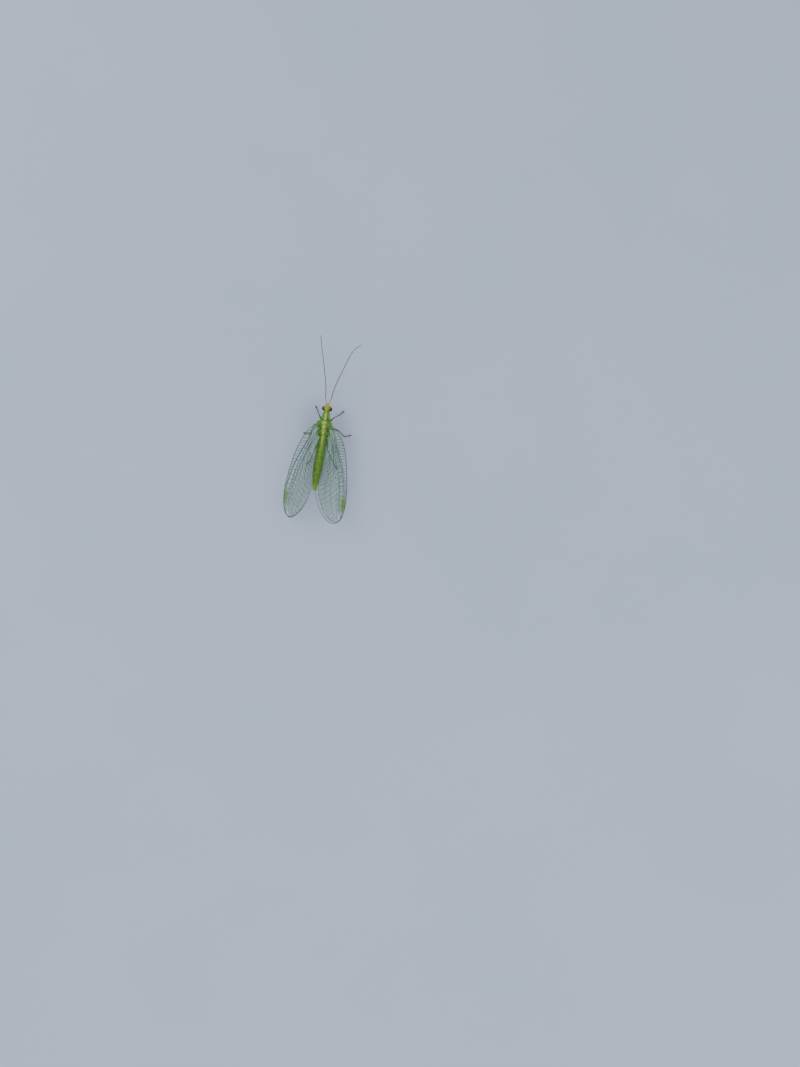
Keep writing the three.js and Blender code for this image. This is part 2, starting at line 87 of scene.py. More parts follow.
EYE_CENTRE = (0.47, -2.27, 2.86)
EYE_RADII = (0.3, 0.325, 0.38)
# The left eye's turn about Y and Z, the way the painted glint on it looks, and how far that painted glint
# spreads, in degrees
EYE_TURN = (-14, 12)
GLINT_WAY = (-0.25, -0.35, 0.9)
GLINT_SPREAD = 40
SCAPE_ROOT = (0.2, -2.86, 2.98)

# Feelers: places that the middle line passes through, root to tip
FEELER_ROUTES = {
    "left": [(0.1, -2.86, 3.0), (0.14, -3.25, 3.12), (0.32, -3.7, 3.22), (0.45, -5.2, 3.5),
             (1.07, -7.9, 3.75), (1.98, -11.2, 3.55), (2.36, -12.7, 3.3)],
    "right": [(-0.3, -2.86, 3.0), (-0.34, -3.25, 3.12), (-0.52, -3.7, 3.22), (-0.8, -5.3, 3.5),
              (-1.71, -8.25, 3.75), (-2.67, -11.0, 3.55), (-3.7, -12.14, 3.3)],
}

# Stretches along a feeler that its first two joints take up, their girths, where the long part starts, its
# girth there, and by how much it is thinner at the tip
SCAPE_STRETCH = (0, 0.3)
SCAPE_GIRTHS = (0.085, 0.115, 0.125, 0.128, 0.125, 0.12, 0.112, 0.1, 0.08)
PEDICEL_STRETCH = (0.34, 0.47)
PEDICEL_GIRTHS = (0.055, 0.075, 0.085, 0.085, 0.078, 0.06)
CHAIN_START = 0.5
CHAIN_GIRTH = 0.066
CHAIN_TAPER = 0.019

# Legs: roots by their distance from the midline, then each leg's knee, ankle and toe
LEG_ROOTS = {
    "front": ((0.36, -1.05, 2.42), (0.46, -0.5, 1.35)),
    "middle": ((0.38, 0.1, 2.15), (0.5, 0.3, 1.4)),
    "hind": ((0.38, 1.25, 2.15), (0.46, 1.6, 1.3)),
}
LEG_POSES = {
    "front_left": ((0.98, -1.26, 1.75), (1.6, -2.23), (1.91, -2.73)),
    "front_right": ((-1.1, -1.2, 1.75), (-1.8, -2.03), (-2.25, -2.56)),
    "middle_left": ((1.49, 0.1, 2.0), (2.2, 1.42), (3.02, 1.42)),
    "middle_right": ((-2.13, 0.53, 2.0), (-2.97, 1.08), (-3.77, 0.8)),
    "hind_left": ((0.92, 3.4, 0.92), (1.5, 5.28), (2.01, 5.9)),
    "hind_right": ((-0.82, 3.42, 0.88), (-1.93, 5.12), (-2.52, 5.96)),
}
ANKLE_HEIGHT = 0.2
TOE_HEIGHT = 0.094
# The five foot joints: their shares of the foot's length, and their girths
FOOT_SHARES = (0.34, 0.15, 0.13, 0.12, 0.26)
FOOT_GIRTHS = (0.056, 0.053, 0.053, 0.058, 0.084)
# How far a foot may sink into the floor before the build stops
FLOOR_SLACK = 0.03

# Wings: u runs from root to tip and v from the front margin to the rear one. A margin is given by its
# greatest distance from the axis, where along the wing that is, and how squarely it rounds off to the tip
# and to the root. The long veins are given by [u, v] stops. The film rises by lift and level behind the root,
# heavy scales the radii of all veins, and rim those of the rear margin once more.
FOREWING = dict(
    root=(0.98, 0.1, 3.62), lift=0.32, level=0.06, rear=(2.5, 0.68, 1.7, 2.0), root_half=0.26,
    branches=16, costal_cells=26, radial_cells=14, heavy=1.0, rim=1.0,
    middle=[[0, 0.42], [0.1, 0.46], [0.2, 0.44], [0.3, 0.335], [0.38, 0.25], [0.46, 0.17], [0.54, 0.12],
            [0.65, 0.075], [0.8, 0.05], [1, 0.04]],
    sector=[[0, 0.56], [0.16, 0.58], [0.28, 0.49], [0.37, 0.395], [0.46, 0.315], [0.54, 0.275],
            [0.66, 0.25], [0.8, 0.25], [1, 0.34]],
    inner=[[0, 0.68], [0.15, 0.66], [0.3, 0.6], [0.45, 0.55], [0.7, 0.53], [1, 0.58]],
    outer=[[0, 0.8], [0.15, 0.8], [0.3, 0.76], [0.45, 0.73], [0.7, 0.73], [1, 0.75]],
)
HINDWING = dict(
    root=(0.82, 1.2, 2.95), lift=0.0, level=0.04, rear=(2.25, 0.66, 1.8, 1.7), root_half=0.25,
    branches=13, costal_cells=20, radial_cells=12, heavy=0.78, rim=1.7,
    middle=[[0, 0.36], [0.2, 0.3], [0.4, 0.2], [0.7, 0.15], [1, 0.14]],
    sector=[[0, 0.52], [0.2, 0.44], [0.4, 0.34], [0.7, 0.28], [1, 0.4]],
    inner=[[0, 0.66], [0.2, 0.6], [0.5, 0.54], [0.75, 0.56], [1, 0.6]],
    outer=[[0, 0.8], [0.2, 0.76], [0.5, 0.74], [0.75, 0.75], [1, 0.77]],
)
# Each wing's kind, side, tip, roll in degrees, front margin, and room between its film and the abdomen
WING_PLACES = {
    "forewing_left": (FOREWING, 1, (2.78, 14.23, 2.6), 32.0, (2.52, 0.66, 1.93, 3.2), -0.2),
    "forewing_right": (FOREWING, -1, (-3.34, 14.18, 2.75), 18.0, (2.22, 0.55, 2.5, 3.2), 0.28),
    "hindwing_left": (HINDWING, 1, (3.3, 14.11, 1.45), 32.0, (1.75, 0.62, 2.3, 2.3), -0.1),
    "hindwing_right": (HINDWING, -1, (-3.75, 13.91, 1.7), 18.0, (1.5, 0.62, 2.3, 2.3), 0.22),
}
# Shares of the wing's length between which the green spot lies, and at which the sector leaves the radius
STIGMA = (0.675, 0.945)
SECTOR_START = 0.1
# Distance of each of the two front stems from the line between them
STEM_GAP = 0.09
# Stretches along a wing, as (start, length) in shares u: the rungs of the front field, the short veins from the
# radius to the sector, and the places where the branches leave the sector
RUNG_STRETCH = (0.035, 0.77)
RADIAL_STRETCH = (0.2, 0.7)
BRANCH_STRETCH = (0.13, 0.8)
# Where the branches fork, as v, and how far apart, as u, short veins tie the stems at the wing's base
FORK_AT = 0.84
TIE_STEP = 0.045
# Stems at the wing's base: v at the roots of media and cubitus, which end on the first branch, and (v at the
# root, u at the rear margin) of the rear cubitus and the two anal veins
FRONT_STEM_ROOTS = (0.46, 0.62)
REAR_STEMS = ((0.74, 0.235), (0.84, 0.165), (0.92, 0.1))
# Shares of the wing's length that the hinge starts before the root, and runs back along the body
HINGE_START = 0.014
HINGE_SLANT = 0.05
# Where along the hinge, from front to rear, the skin rises in knobs to the film, the knobs' radii, and how
# far their middles lie below it
HINGE_KNOBS = (0.45, 0.62, 0.8, 0.97)
HINGE_KNOB_RADII = (0.11, 0.15, 0.27)
HINGE_KNOB_DEPTH = 0.2

# Degrees from a tube's end up its dome at which rings lie
DOME_ANGLES = (30, 60, 82)
# Sides of the trunk's shell
TRUNK_SIDES = 48

# The camera hangs over the floor and looks straight down: millimetres, and degrees for its turn
CAMERA_HEIGHT = 120.0
CAMERA_TILT = 8.6
CAMERA_RIGHT = 11.115
CAMERA_DOWN = 16.014
CAMERA_LENS = 27.0
CAMERA_SENSOR = 36.0


def own_origin():
    """Where the insect's own frame has its origin, in millimetres of the row's frame."""
    left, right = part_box("eye_left"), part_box("eye_right")
    middle_x = (left[1].x + right[0].x) / 2
    front_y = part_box("prothorax")[0].y
    return np.array([middle_x / MM - MIDLINE_X, front_y / MM - NECK_Y - SEGMENT_GAP / 2, 0.0])


ORIGIN = own_origin()


def settled(points):
    """Millimetres of the insect's own frame as metres of the row's frame."""
    return (np.asarray(points, float) + ORIGIN) * MM


def smoothstep(x, low, high):
    t = np.clip((np.asarray(x, float) - low) / (high - low), 0, 1)
    return t * t * (3 - 2 * t)


def bell(x, middle, width):
    return np.exp(-(((np.asarray(x, float) - middle) / width) ** 2))


def profile(stops, x):
    """A smooth value through a few [place, value] stops."""
    places, values = np.array(stops, float).T
    slopes = np.gradient(values, places)
    x = np.clip(np.asarray(x, float), places[0], places[-1])
    i = np.clip(np.searchsorted(places, x, side="right") - 1, 0, len(places) - 2)
    span = places[i + 1] - places[i]
    t = (x - places[i]) / span
    start = (1 + 2 * t) * (1 - t) ** 2 * values[i] + t * (1 - t) ** 2 * span * slopes[i]
    return start + t * t * (3 - 2 * t) * values[i + 1] + t * t * (t - 1) * span * slopes[i + 1]


def run_along(path):
    """Length of the way from a path's start to each of its places."""
    return np.concatenate([[0], np.cumsum(np.linalg.norm(np.diff(path, axis=0), axis=1))])


def at_lengths(path, run, lengths):
    return np.column_stack([np.interp(lengths, run, path[:, k]) for k in range(3)])


def ways_along(path):
    """Unit direction of a path at each of its places."""
    ways = np.gradient(path, axis=0)
    return ways / np.linalg.norm(ways, axis=1)[:, None]


def smooth_path(places, steps):
    """A Catmull-Rom curve through a few places, evenly stepped along its length."""
    places = np.array(places, float)
    padded = np.vstack([2 * places[0] - places[1], places, 2 * places[-1] - places[-2]])
    fine = []
    for i in range(len(places) - 1):
        a, b, c, d = padded[i:i + 4]
        t = np.linspace(0, 1, 40, endpoint=False)[:, None]
        fine.append(0.5 * (2 * b + (c - a) * t + (2 * a - 5 * b + 4 * c - d) * t ** 2
                           + (3 * b - a - 3 * c + d) * t ** 3))
    fine = np.vstack(fine + [places[-1:]])
    run = run_along(fine)
    return at_lengths(fine, run, np.linspace(0, run[-1], steps))


def on_side(place, side):
    """A place given by its distance from the midline, on the left side (1) or the right (-1)."""
    return np.array([MIDLINE_X + place[0] * side, place[1], place[2]])


def axis_height(y):
    return THORAX_HEIGHT - ABDOMEN_DROP * smoothstep(y, DROOP_START, DROOP_END)


def middle_x(y):
    share = np.clip((np.asarray(y, float) - ABDOMEN_Y) / (TAIL_Y - ABDOMEN_Y), 0, 1)
    return MIDLINE_X + (TAIL_X - MIDLINE_X) * share + SIDE_BOW * np.sin(math.pi * share)


class Shells:
    """Closed surfaces that are gathered into one mesh, with a value of its own at each point."""

    def __init__(self, *names):
        self.points, self.faces = [], []
        self.values = {name: [] for name in names}
        self.count = 0

    def add(self, points, faces, **values):
        self.points.append(np.asarray(points, float))
        self.faces += [tuple(self.count + i for i in face) for face in faces]
        for name, kept in self.values.items():
            value = np.asarray(values.get(name, 0.0), float)
            kept.append(np.broadcast_to(value, (len(points), *value.shape[1:])))
        self.count += len(points)

    def piece(self, name, material):
        made = mesh_piece(name, np.vstack(self.points), self.faces, material)
        for key, kept in self.values.items():
            store(made.data, key, np.concatenate(kept))
        return made


def added(name, data):
    """A new object in the scene."""
    made = bpy.data.objects.new(name, data)
    bpy.context.scene.collection.objects.link(made)
    return made


def worked_out(holder, name):
    """The mesh that an object's modifiers give. The object itself goes."""
    bpy.context.view_layer.update()
    seen = holder.evaluated_get(bpy.context.evaluated_depsgraph_get())
    mesh = bpy.data.meshes.new_from_object(seen)
    mesh.name = name
    holder.modifiers.clear()
    bpy.data.objects.remove(holder)
    return mesh


def shade_smooth(mesh):
    mesh.polygons.foreach_set("use_smooth", np.ones(len(mesh.polygons), bool))
    mesh.update()


def mesh_piece(name, points, faces, material):
    """A smooth-shaded piece with its place in its mesh."""
    mesh = bpy.data.meshes.new(name)
    mesh.from_pydata(settled(points).tolist(), [], faces)
    mesh.materials.append(material)
    shade_smooth(mesh)
    return added(name, mesh)


def store(mesh, name, values):
    """Keeps one number, or one direction, at each point of a mesh."""
    values = np.asarray(values, np.float32)
    kind, key = ("FLOAT_VECTOR", "vector") if values.ndim == 2 else ("FLOAT", "value")
    mesh.attributes.new(name, kind, "POINT").data.foreach_set(key, values.ravel())


def read(items, key, width=1, kind=np.float32):
    """What a mesh says of each of its points, corners or faces."""
    flat = np.zeros(len(items) * width, kind)
    items.foreach_get(key, flat)
    return flat.reshape(-1, width) if width > 1 else flat


def points_of(piece):
    """A piece's points in the insect's own frame."""
    return read(piece.data.vertices, "co", 3).astype(float) / MM - ORIGIN


def place_points(mesh, points):
    mesh.vertices.foreach_set("co", settled(points).astype(np.float32).ravel())
    mesh.update()


def ring_faces(rows, sides):
    """Faces over rows of rings, closed by the two points that follow the rings."""
    faces = []
    for row in range(rows - 1):
        for k in range(sides):
            a, b = row * sides + k, row * sides + (k + 1) % sides
            faces.append((a, a + sides, b + sides, b))
    last, total = (rows - 1) * sides, rows * sides
    for k in range(sides):
        faces.append((total, k, (k + 1) % sides))
        faces.append((total + 1, last + (k + 1) % sides, last + k))
    return faces


def tube(path, radii, sides, flatten=1.0):
    """A closed tube along a path, with domed ends: its points, faces, shares of length and directions."""
    path, radii = np.asarray(path, float), np.broadcast_to(radii, len(path)).astype(float)
    ahead = ways_along(path)
    rows = [(path[i], radii[i], ahead[i], i / (len(path) - 1)) for i in range(len(path))]
    for at_end in (False, True):
        centre, radius, direction, share = rows[-1] if at_end else rows[0]
        outward = direction if at_end else -direction
        for angle in DOME_ANGLES:
            turn = math.radians(angle)
            row = (centre + outward * radius * math.sin(turn), radius * math.cos(turn), direction, share)
            rows.insert(len(rows) if at_end else 0, row)
    side_way = np.cross(rows[0][2], (0.0, 0.0, 1.0))
    if np.linalg.norm(side_way) < 0.2:
        side_way = np.cross(rows[0][2], (1.0, 0.0, 0.0))
    angles = np.linspace(0, 2 * math.pi, sides, endpoint=False)
    points, shares, ways = [], [], []
    for centre, radius, direction, share in rows:
        side_way = side_way - direction * np.dot(side_way, direction)
        side_way /= np.linalg.norm(side_way)
        up_way = np.cross(side_way, direction)
        ring = np.outer(np.cos(angles), side_way) + np.outer(np.sin(angles), up_way) * flatten
        points.append(centre + ring * radius)
        shares += [share] * sides
        ways += [direction] * sides
    points = np.vstack(points + [rows[0][0][None], rows[-1][0][None]])
    shares += [0.0, 1.0]
    ways += [rows[0][2], rows[-1][2]]
    return points, ring_faces(len(rows), sides), np.array(shares), np.array(ways)


def ball(centre, radii, across=28, down=16):
    """An ellipsoid with closed poles."""
    points = [(0, 0, 1)]
    for row in range(1, down):
        polar = math.pi * row / down
        wide = math.sin(polar)
        for k in range(across):
            turn = 2 * math.pi * k / across
            points.append((wide * math.cos(turn), wide * math.sin(turn), math.cos(polar)))
    points.append((0, 0, -1))
    faces = []
    for k in range(across):
        faces.append((0, 1 + k, 1 + (k + 1) % across))
        last = 1 + (down - 2) * across
        faces.append((len(points) - 1, last + (k + 1) % across, last + k))
    for row in range(down - 2):
        for k in range(across):
            a, b = 1 + row * across + k, 1 + row * across + (k + 1) % across
            faces.append((a, a + across, b + across, b))
    return np.array(points) * np.array(radii) + np.array(centre), faces


# Node trees, for shapes and for finishes

def add_node(tree, kind, settings=None, inputs=None):
    """Adds a node: its settings are set first, and then its sockets get values or links."""
    made = tree.nodes.new(kind)
    for key, value in (settings or {}).items():
        setattr(made, key, value)
    for key, value in (inputs or {}).items():
        feed(tree, made.inputs[key], value)
    return made


def feed(tree, socket, value):
    if isinstance(value, Value):
        value = value.socket
    if isinstance(value, bpy.types.NodeSocket):
        tree.links.new(value, socket)
    else:
        socket.default_value = value


class Value:
    """A number that varies over a surface: an expression on it adds its Math nodes."""

    def __init__(self, tree, socket):
        self.tree, self.socket = tree, socket

    def math(self, operation, *others, clamp=False):
        settings = {"operation": operation, "use_clamp": clamp}
        inputs = dict(enumerate((self, *others)))
        return Value(self.tree, add_node(self.tree, "ShaderNodeMath", settings, inputs).outputs[0])

    def __add__(self, other):
        return self.math("ADD", other)

    def __sub__(self, other):
        return self.math("SUBTRACT", other)

    def __mul__(self, other):
        return self.math("MULTIPLY", other)

    def __rsub__(self, other):
        made = add_node(self.tree, "ShaderNodeMath", {"operation": "SUBTRACT"}, {0: other, 1: self})
        return Value(self.tree, made.outputs[0])

    __radd__ = __add__
    __rmul__ = __mul__

    def clamped(self):
        return self.math("ADD", 0.0, clamp=True)

    def between(self, low, high, start=0.0, end=1.0):
        """Runs smoothly from start to end while this value runs from low to high."""
        inputs = {0: self, 1: low, 2: high, 3: start, 4: end}
        made = add_node(self.tree, "ShaderNodeMapRange", {"interpolation_type": "SMOOTHSTEP"}, inputs)
        return Value(self.tree, made.outputs[0])


class Finish:
    """A material, with short calls for the nodes that its patterns need."""

    def __init__(self, name):
        self.material = bpy.data.materials.new(name)
        self.material.use_nodes = True
        self.tree = self.material.node_tree
        self.surface = next(n for n in self.tree.nodes if n.type == "BSDF_PRINCIPLED")
        self.place = add_node(self.tree, "ShaderNodeTexCoord").outputs["Object"]

    def node(self, kind, settings=None, inputs=None, out=0):
        return add_node(self.tree, kind, settings, inputs).outputs[out]

    def value(self, *words, **more):
        return Value(self.tree, self.node(*words, **more))

    def kept(self, name):
        """A number that the mesh keeps at its points."""
        return self.value("ShaderNodeAttribute", {"attribute_name": name}, out="Fac")

    def magnified(self, size):
        """The material's own places, enlarged until a size, in metres, is one unit."""
        return self.node("ShaderNodeMapping", {}, {"Vector": self.place, "Scale": (1 / size,) * 3})

    def speckle(self, size, detail=3.0):
        """Cloudy variation with patches of about a size, in metres."""
        inputs = {"Vector": self.magnified(size), "Scale": 1.0, "Detail": detail, "Roughness": 0.55}
        return self.value("ShaderNodeTexNoise", {}, inputs)

    def cells(self, size):
        """Distance from the middle of each of many cells of about a size, in metres."""
        inputs = {"Vector": self.magnified(size), "Scale": 1.0}
        return self.value("ShaderNodeTexVoronoi", {}, inputs, out="Distance")

    def mix(self, share, first, second):
        """Goes over from the first colour to the second as the share goes from 0 to 1."""
        pair = [c if isinstance(c, bpy.types.NodeSocket) else (*c, 1.0) for c in (first, second)]
        return self.node("ShaderNodeMix", {"data_type": "RGBA"}, {0: share, 6: pair[0], 7: pair[1]}, out=2)

    def bump(self, height, distance, strength, under=None):
        inputs = {"Height": height, "Distance": distance, "Strength": strength}
        if under is not None:
            inputs["Normal"] = under
        return self.node("ShaderNodeBump", {}, inputs)

    def dress(self, **sockets):
        """Sets or links the surface's own sockets, named with underscores for spaces."""
        for key, value in sockets.items():
            feed(self.tree, self.surface.inputs[key.replace("_", " ")], value)
        return self.material


class Grower:
    """A Geometry Nodes tree with named inputs that is built line by line and run once on a mesh."""

    def __init__(self, name, **inputs):
        self.tree = bpy.data.node_groups.new(name, "GeometryNodeTree")
        face = self.tree.interface
        face.new_socket(name="Geometry", in_out="INPUT", socket_type="NodeSocketGeometry")
        face.new_socket(name="Geometry", in_out="OUTPUT", socket_type="NodeSocketGeometry")
        self.chosen = {}
        kinds = {int: "NodeSocketInt", float: "NodeSocketFloat"}
        for label, value in inputs.items():
            socket = face.new_socket(name=label, in_out="INPUT", socket_type=kinds[type(value)])
            self.chosen[socket.identifier] = value
        self.start = self.tree.nodes.new("NodeGroupInput")
        self.end = self.tree.nodes.new("NodeGroupOutput")
        self.shape = self.start.outputs["Geometry"]

    def size(self, label):
        return self.start.outputs[label]

    def node(self, kind, settings=None, inputs=None, out=0):
        return add_node(self.tree, kind, settings, inputs).outputs[out]

    def kept(self, name, kind="FLOAT"):
        return self.node("GeometryNodeInputNamedAttribute", {"data_type": kind}, {"Name": name})

    def math(self, operation, *values):
        return self.node("ShaderNodeMath", {"operation": operation}, dict(enumerate(values)))

    def chance(self, low, high, seed):
        """A random number between two values, fixed by its seed."""
        inputs = {2: low, 3: high, "Seed": seed}
        return self.node("FunctionNodeRandomValue", {"data_type": "FLOAT"}, inputs, out=1)

    def grown(self, source, name, material):
        """Ends the tree, runs it on the source mesh and gives back a plain mesh piece."""
        solid = self.node("GeometryNodeRealizeInstances", {}, {"Geometry": self.shape})
        smooth = self.node("GeometryNodeSetShadeSmooth", {}, {"Geometry": solid})
        dressed = self.node("GeometryNodeSetMaterial", {}, {"Geometry": smooth, "Material": material})
        self.tree.links.new(dressed, self.end.inputs["Geometry"])
        holder = added(name + "_holder", source)
        modifier = holder.modifiers.new(name, "NODES")
        modifier.node_group = self.tree
        for identifier, value in self.chosen.items():
            modifier[identifier] = value
        mesh = worked_out(holder, name)
        if len(mesh.polygons) == 0:
            raise RuntimeError(f"{name} came out empty")
        mesh.materials.clear()
        mesh.materials.append(material)
        return added(name, mesh)


def strands(name, lines, material, sides):
    """Round strands along lines of (points, radii, shares of green), grown from bare edges."""
    mesh = bpy.data.meshes.new(name + "_lines")
    points, edges = [], []
    for path, _, _ in lines:
        edges += [(len(points) + i, len(points) + i + 1) for i in range(len(path) - 1)]
        points += settled(path).tolist()
    mesh.from_pydata(points, edges, [])
    store(mesh, "girth", np.concatenate([radii for _, radii, _ in lines]) * MM)
    store(mesh, "green_share", np.concatenate([shares for _, _, shares in lines]))
    grow = Grower(name + "_strands", Sides=sides)
    curve = grow.node("GeometryNodeMeshToCurve", {}, {"Mesh": grow.shape})
    inputs = {"Resolution": grow.size("Sides"), "Radius": 1.0}
    ring = grow.node("GeometryNodeCurvePrimitiveCircle", {}, inputs)
    inputs = {"Curve": curve, "Profile Curve": ring, "Scale": grow.kept("girth"), "Fill Caps": True}
    grow.shape = grow.node("GeometryNodeCurveToMesh", {}, inputs)
    return grow.grown(mesh, name, material)


def bristles(name, source, material, density, length, thickness, seed, droop):
    """Fine hairs rooted on a piece, along the direction that its points keep, as thin closed cones."""
    grow = Grower(name + "_bristles", Density=float(density), Length=float(length),
                  Thickness=float(thickness), Seed=int(seed))
    dense = grow.math("MULTIPLY", grow.size("Density"), grow.kept("growth"))
    spread = add_node(grow.tree, "GeometryNodeDistributePointsOnFaces", {"distribute_method": "RANDOM"},
                      {"Mesh": grow.shape, "Density": dense, "Seed": grow.size("Seed")})
    stand = grow.node("ShaderNodeVectorMath", {"operation": "SCALE"},
                      {0: spread.outputs["Normal"], "Scale": grow.chance(droop, droop + 0.5, 3)})
    aim = grow.node("ShaderNodeVectorMath", {"operation": "ADD"},
                    {0: stand, 1: grow.kept("lie", "FLOAT_VECTOR")})
    turn = grow.node("FunctionNodeAlignRotationToVector", {"axis": "Z"}, {"Vector": aim})
    hair = grow.node("GeometryNodeMeshCone", {"fill_type": "TRIANGLE_FAN"},
                     {"Vertices": 3, "Side Segments": 1, "Fill Segments": 1, "Radius Top": 0.0,
                      "Radius Bottom": 1.0, "Depth": 1.0})
    tall = grow.math("MULTIPLY", grow.size("Length"), grow.kept("span"))
    tall = grow.math("MULTIPLY", tall, grow.chance(0.65, 1.15, 7))
    thick = grow.size("Thickness")
    scale = grow.node("ShaderNodeCombineXYZ", {}, {0: thick, 1: thick, 2: tall})
    inputs = {"Points": spread.outputs["Points"], "Instance": hair, "Rotation": turn, "Scale": scale}
    grow.shape = grow.node("GeometryNodeInstanceOnPoints", {}, inputs)
    piece = grow.grown(source.data, name, material)
    patch_by_root(piece)
    return piece


def patch_by_root(piece, reach=0.003):
    """Gives every hair a small patch of the OFBake map at its root's place on the skin's unwrap."""
    mesh = piece.data
    root = read(mesh.attributes["unwrap"].data, "vector", 3)[:, :2]
    corner = read(mesh.loops, "vertex_index", kind=np.int32)
    start, size = (read(mesh.polygons, key, kind=np.int32) for key in ("loop_start", "loop_total"))
    order = np.arange(len(corner)) - np.repeat(start, size)
    turn = 2 * math.pi * order / np.repeat(size, size)
    spread = np.column_stack([np.cos(turn), np.sin(turn)]) * reach / 2
    patch = np.clip(root[corner] + spread, 0.0, 1.0)
    mesh.uv_layers.new(name="OFBake").data.foreach_set("uv", patch.astype(np.float32).ravel())


def keep_for_hairs(piece, lie, unwrap, growth=1.0, span=1.0):
    """Keeps what bristles on a piece need: their direction, places on the unwrap, density and length."""
    count = len(piece.data.vertices)
    store(piece.data, "lie", np.broadcast_to(lie, (count, 3)))
    store(piece.data, "growth", np.broadcast_to(growth, count))
    store(piece.data, "span", np.broadcast_to(span, count))
    store(piece.data, "unwrap", np.column_stack([*unwrap, np.zeros(count)]))


def finished(piece, slot, *nodes):
    """Puts a piece on the body and hides the nodes that it takes the place of. The slot, the finish it stands
    for, is not used.
    """
    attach(piece, "root")
    if nodes:
        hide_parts(*nodes)
    return piece


# Finishes

def cuticle_colour(finish, colours):
    """The colours of skin and bristles alike: green, with painted shade down the sides and underside, a pale
    back line with painted highlights, and a yellower tail and face.
    """
    patchy = finish.speckle(0.00035, 4.0)
    fine = finish.speckle(0.00008)
    green = finish.mix(patchy.between(0.35, 0.68), colours.deep_green, colours.green)
    # The sides and underside are painted a darker green as shade; the tail and face are the insect's own
    # yellower green
    for part, colour in (("flank", colours.underside_shade_green), ("tail", colours.tail_yellow),
                         ("face", colours.face_green)):
        green = finish.mix(finish.kept(part), green, colour)
    green = finish.mix(finish.kept("soft") * 0.75, green, colours.soft_skin)
    ragged = (finish.kept("back_line") * 1.35 - (1 - fine.between(0.3, 0.7)) * 0.3).clamped()
    green = finish.mix(ragged, green, colours.back_line)
    green = finish.mix(finish.kept("blush"), green, colours.blush)
    return finish.mix(finish.kept("mark") * fine.between(0.1, 0.5), green, colours.mark)


def skin_finish(colours):
    finish = Finish("green_cuticle")
    colour = cuticle_colour(finish, colours)
    # Painted shade: the bottoms of the furrows and the lines of the face are darkened
    colour = finish.mix(finish.kept("crease") * 0.55, colour, colours.crease)
    plates = finish.cells(0.00004)
    grain = finish.speckle(0.00002, 2.0)
    lift = finish.bump(plates, 0.000006, 0.5)
    lift = finish.bump(grain, 0.000004, 0.4, lift)
    rough = 0.36 + finish.speckle(0.00012) * 0.18 + finish.kept("soft") * 0.14
    return finish.dress(Base_Color=colour, Roughness=rough, Normal=lift, Subsurface_Weight=0.25,
                        Subsurface_Scale=0.00025, Subsurface_Radius=(0.7, 1.0, 0.2), Coat_Weight=0.05,
                        Coat_Roughness=0.3, Specular_IOR_Level=0.25)


def hair_finish(name, colours, shade, share):
    finish = Finish(name)
    colour = finish.mix(share, cuticle_colour(finish, colours), shade)
    rough = 0.4 + finish.speckle(0.0002, 2.0) * 0.15
    return finish.dress(Base_Color=colour, Roughness=rough, Specular_IOR_Level=0.4)


def eye_finish(colours):
    finish = Finish("faceted_eye")
    # Painted glint: copper, slightly metal facets at a fixed place on each eye stand in for its reflection
    glow = (finish.kept("glow") + (finish.speckle(0.0001) - 0.5) * 0.9).clamped()
    band = finish.speckle(0.00006, 2.0)
    dark = finish.mix(band, colours.eye_dark, colours.eye_brown)
    colour = finish.mix(glow.between(0.3, 1.0), dark, colours.painted_glint_copper)
    metal = glow.between(0.2, 0.9, 0.0, 0.25)
    rough = 0.26 + band * 0.14
    return finish.dress(Base_Color=colour, Metallic=metal, Roughness=rough, Coat_Weight=0.05,
                        Coat_Roughness=0.15, Specular_IOR_Level=0.15)


def feeler_finish(colours):
    finish = Finish("feeler_cuticle")
    along = finish.kept("along")
    fine = finish.speckle(0.00005)
    colour = finish.mix(along.between(0.02, 0.07), colours.feeler_base, colours.feeler)
    colour = finish.mix(along.between(0.93, 1.0), colour, colours.feeler_tip)
    colour = finish.mix(finish.kept("blush"), colour, colours.blush)
    colour = finish.mix(fine * 0.35, colour, colours.feeler_tip)
    lift = finish.bump(fine, 0.000005, 0.5)
    return finish.dress(Base_Color=colour, Roughness=0.45 + fine * 0.2, Normal=lift, Specular_IOR_Level=0.4)


def leg_finish(colours):
    finish = Finish("leg_cuticle")
    along = finish.kept("along")
    fine = finish.speckle(0.00006)
    patchy = finish.speckle(0.0003)
    colour = finish.mix(along.between(0.35, 1.15), colours.leg_green, colours.leg_grey)
    colour = finish.mix(along.between(2.5, 3.3), colour, colours.foot)
    colour = finish.mix(finish.kept("claw"), colour, colours.claw)
    colour = finish.mix(patchy.between(0.4, 0.75) * 0.4, colour, colours.foot)
    lift = finish.bump(fine, 0.000006, 0.6)
    rough = 0.4 + fine * 0.2
    return finish.dress(Base_Color=colour, Roughness=rough, Normal=lift, Subsurface_Weight=0.15,
                        Subsurface_Scale=0.0001, Specular_IOR_Level=0.3)


def membrane_finish(colours, sizes):
    finish = Finish("wing_membrane")
    cloudy = finish.speckle(0.0011)
    fine = finish.speckle(0.00007, 2.0)
    colour = finish.mix(cloudy.between(0.35, 0.7), colours.membrane, colours.membrane_deep)
    colour = finish.mix(finish.kept("stigma"), colour, colours.stigma)
    colour = finish.mix(finish.kept("root"), colour, colours.green)
    clear = sizes.membrane_cover + cloudy.between(0.35, 0.7) * 0.015
    clear = clear + finish.kept("stigma") * 0.74 + finish.kept("root") * 0.5
    lift = finish.bump(fine, 0.000004, 0.35)
    lift = finish.bump(cloudy, 0.00006, 0.5, lift)
    return finish.dress(Base_Color=colour, Alpha=clear.clamped(), Roughness=0.2 + fine * 0.12, Normal=lift,
                        Specular_IOR_Level=0.5, Coat_Weight=0.15, Coat_Roughness=0.12)


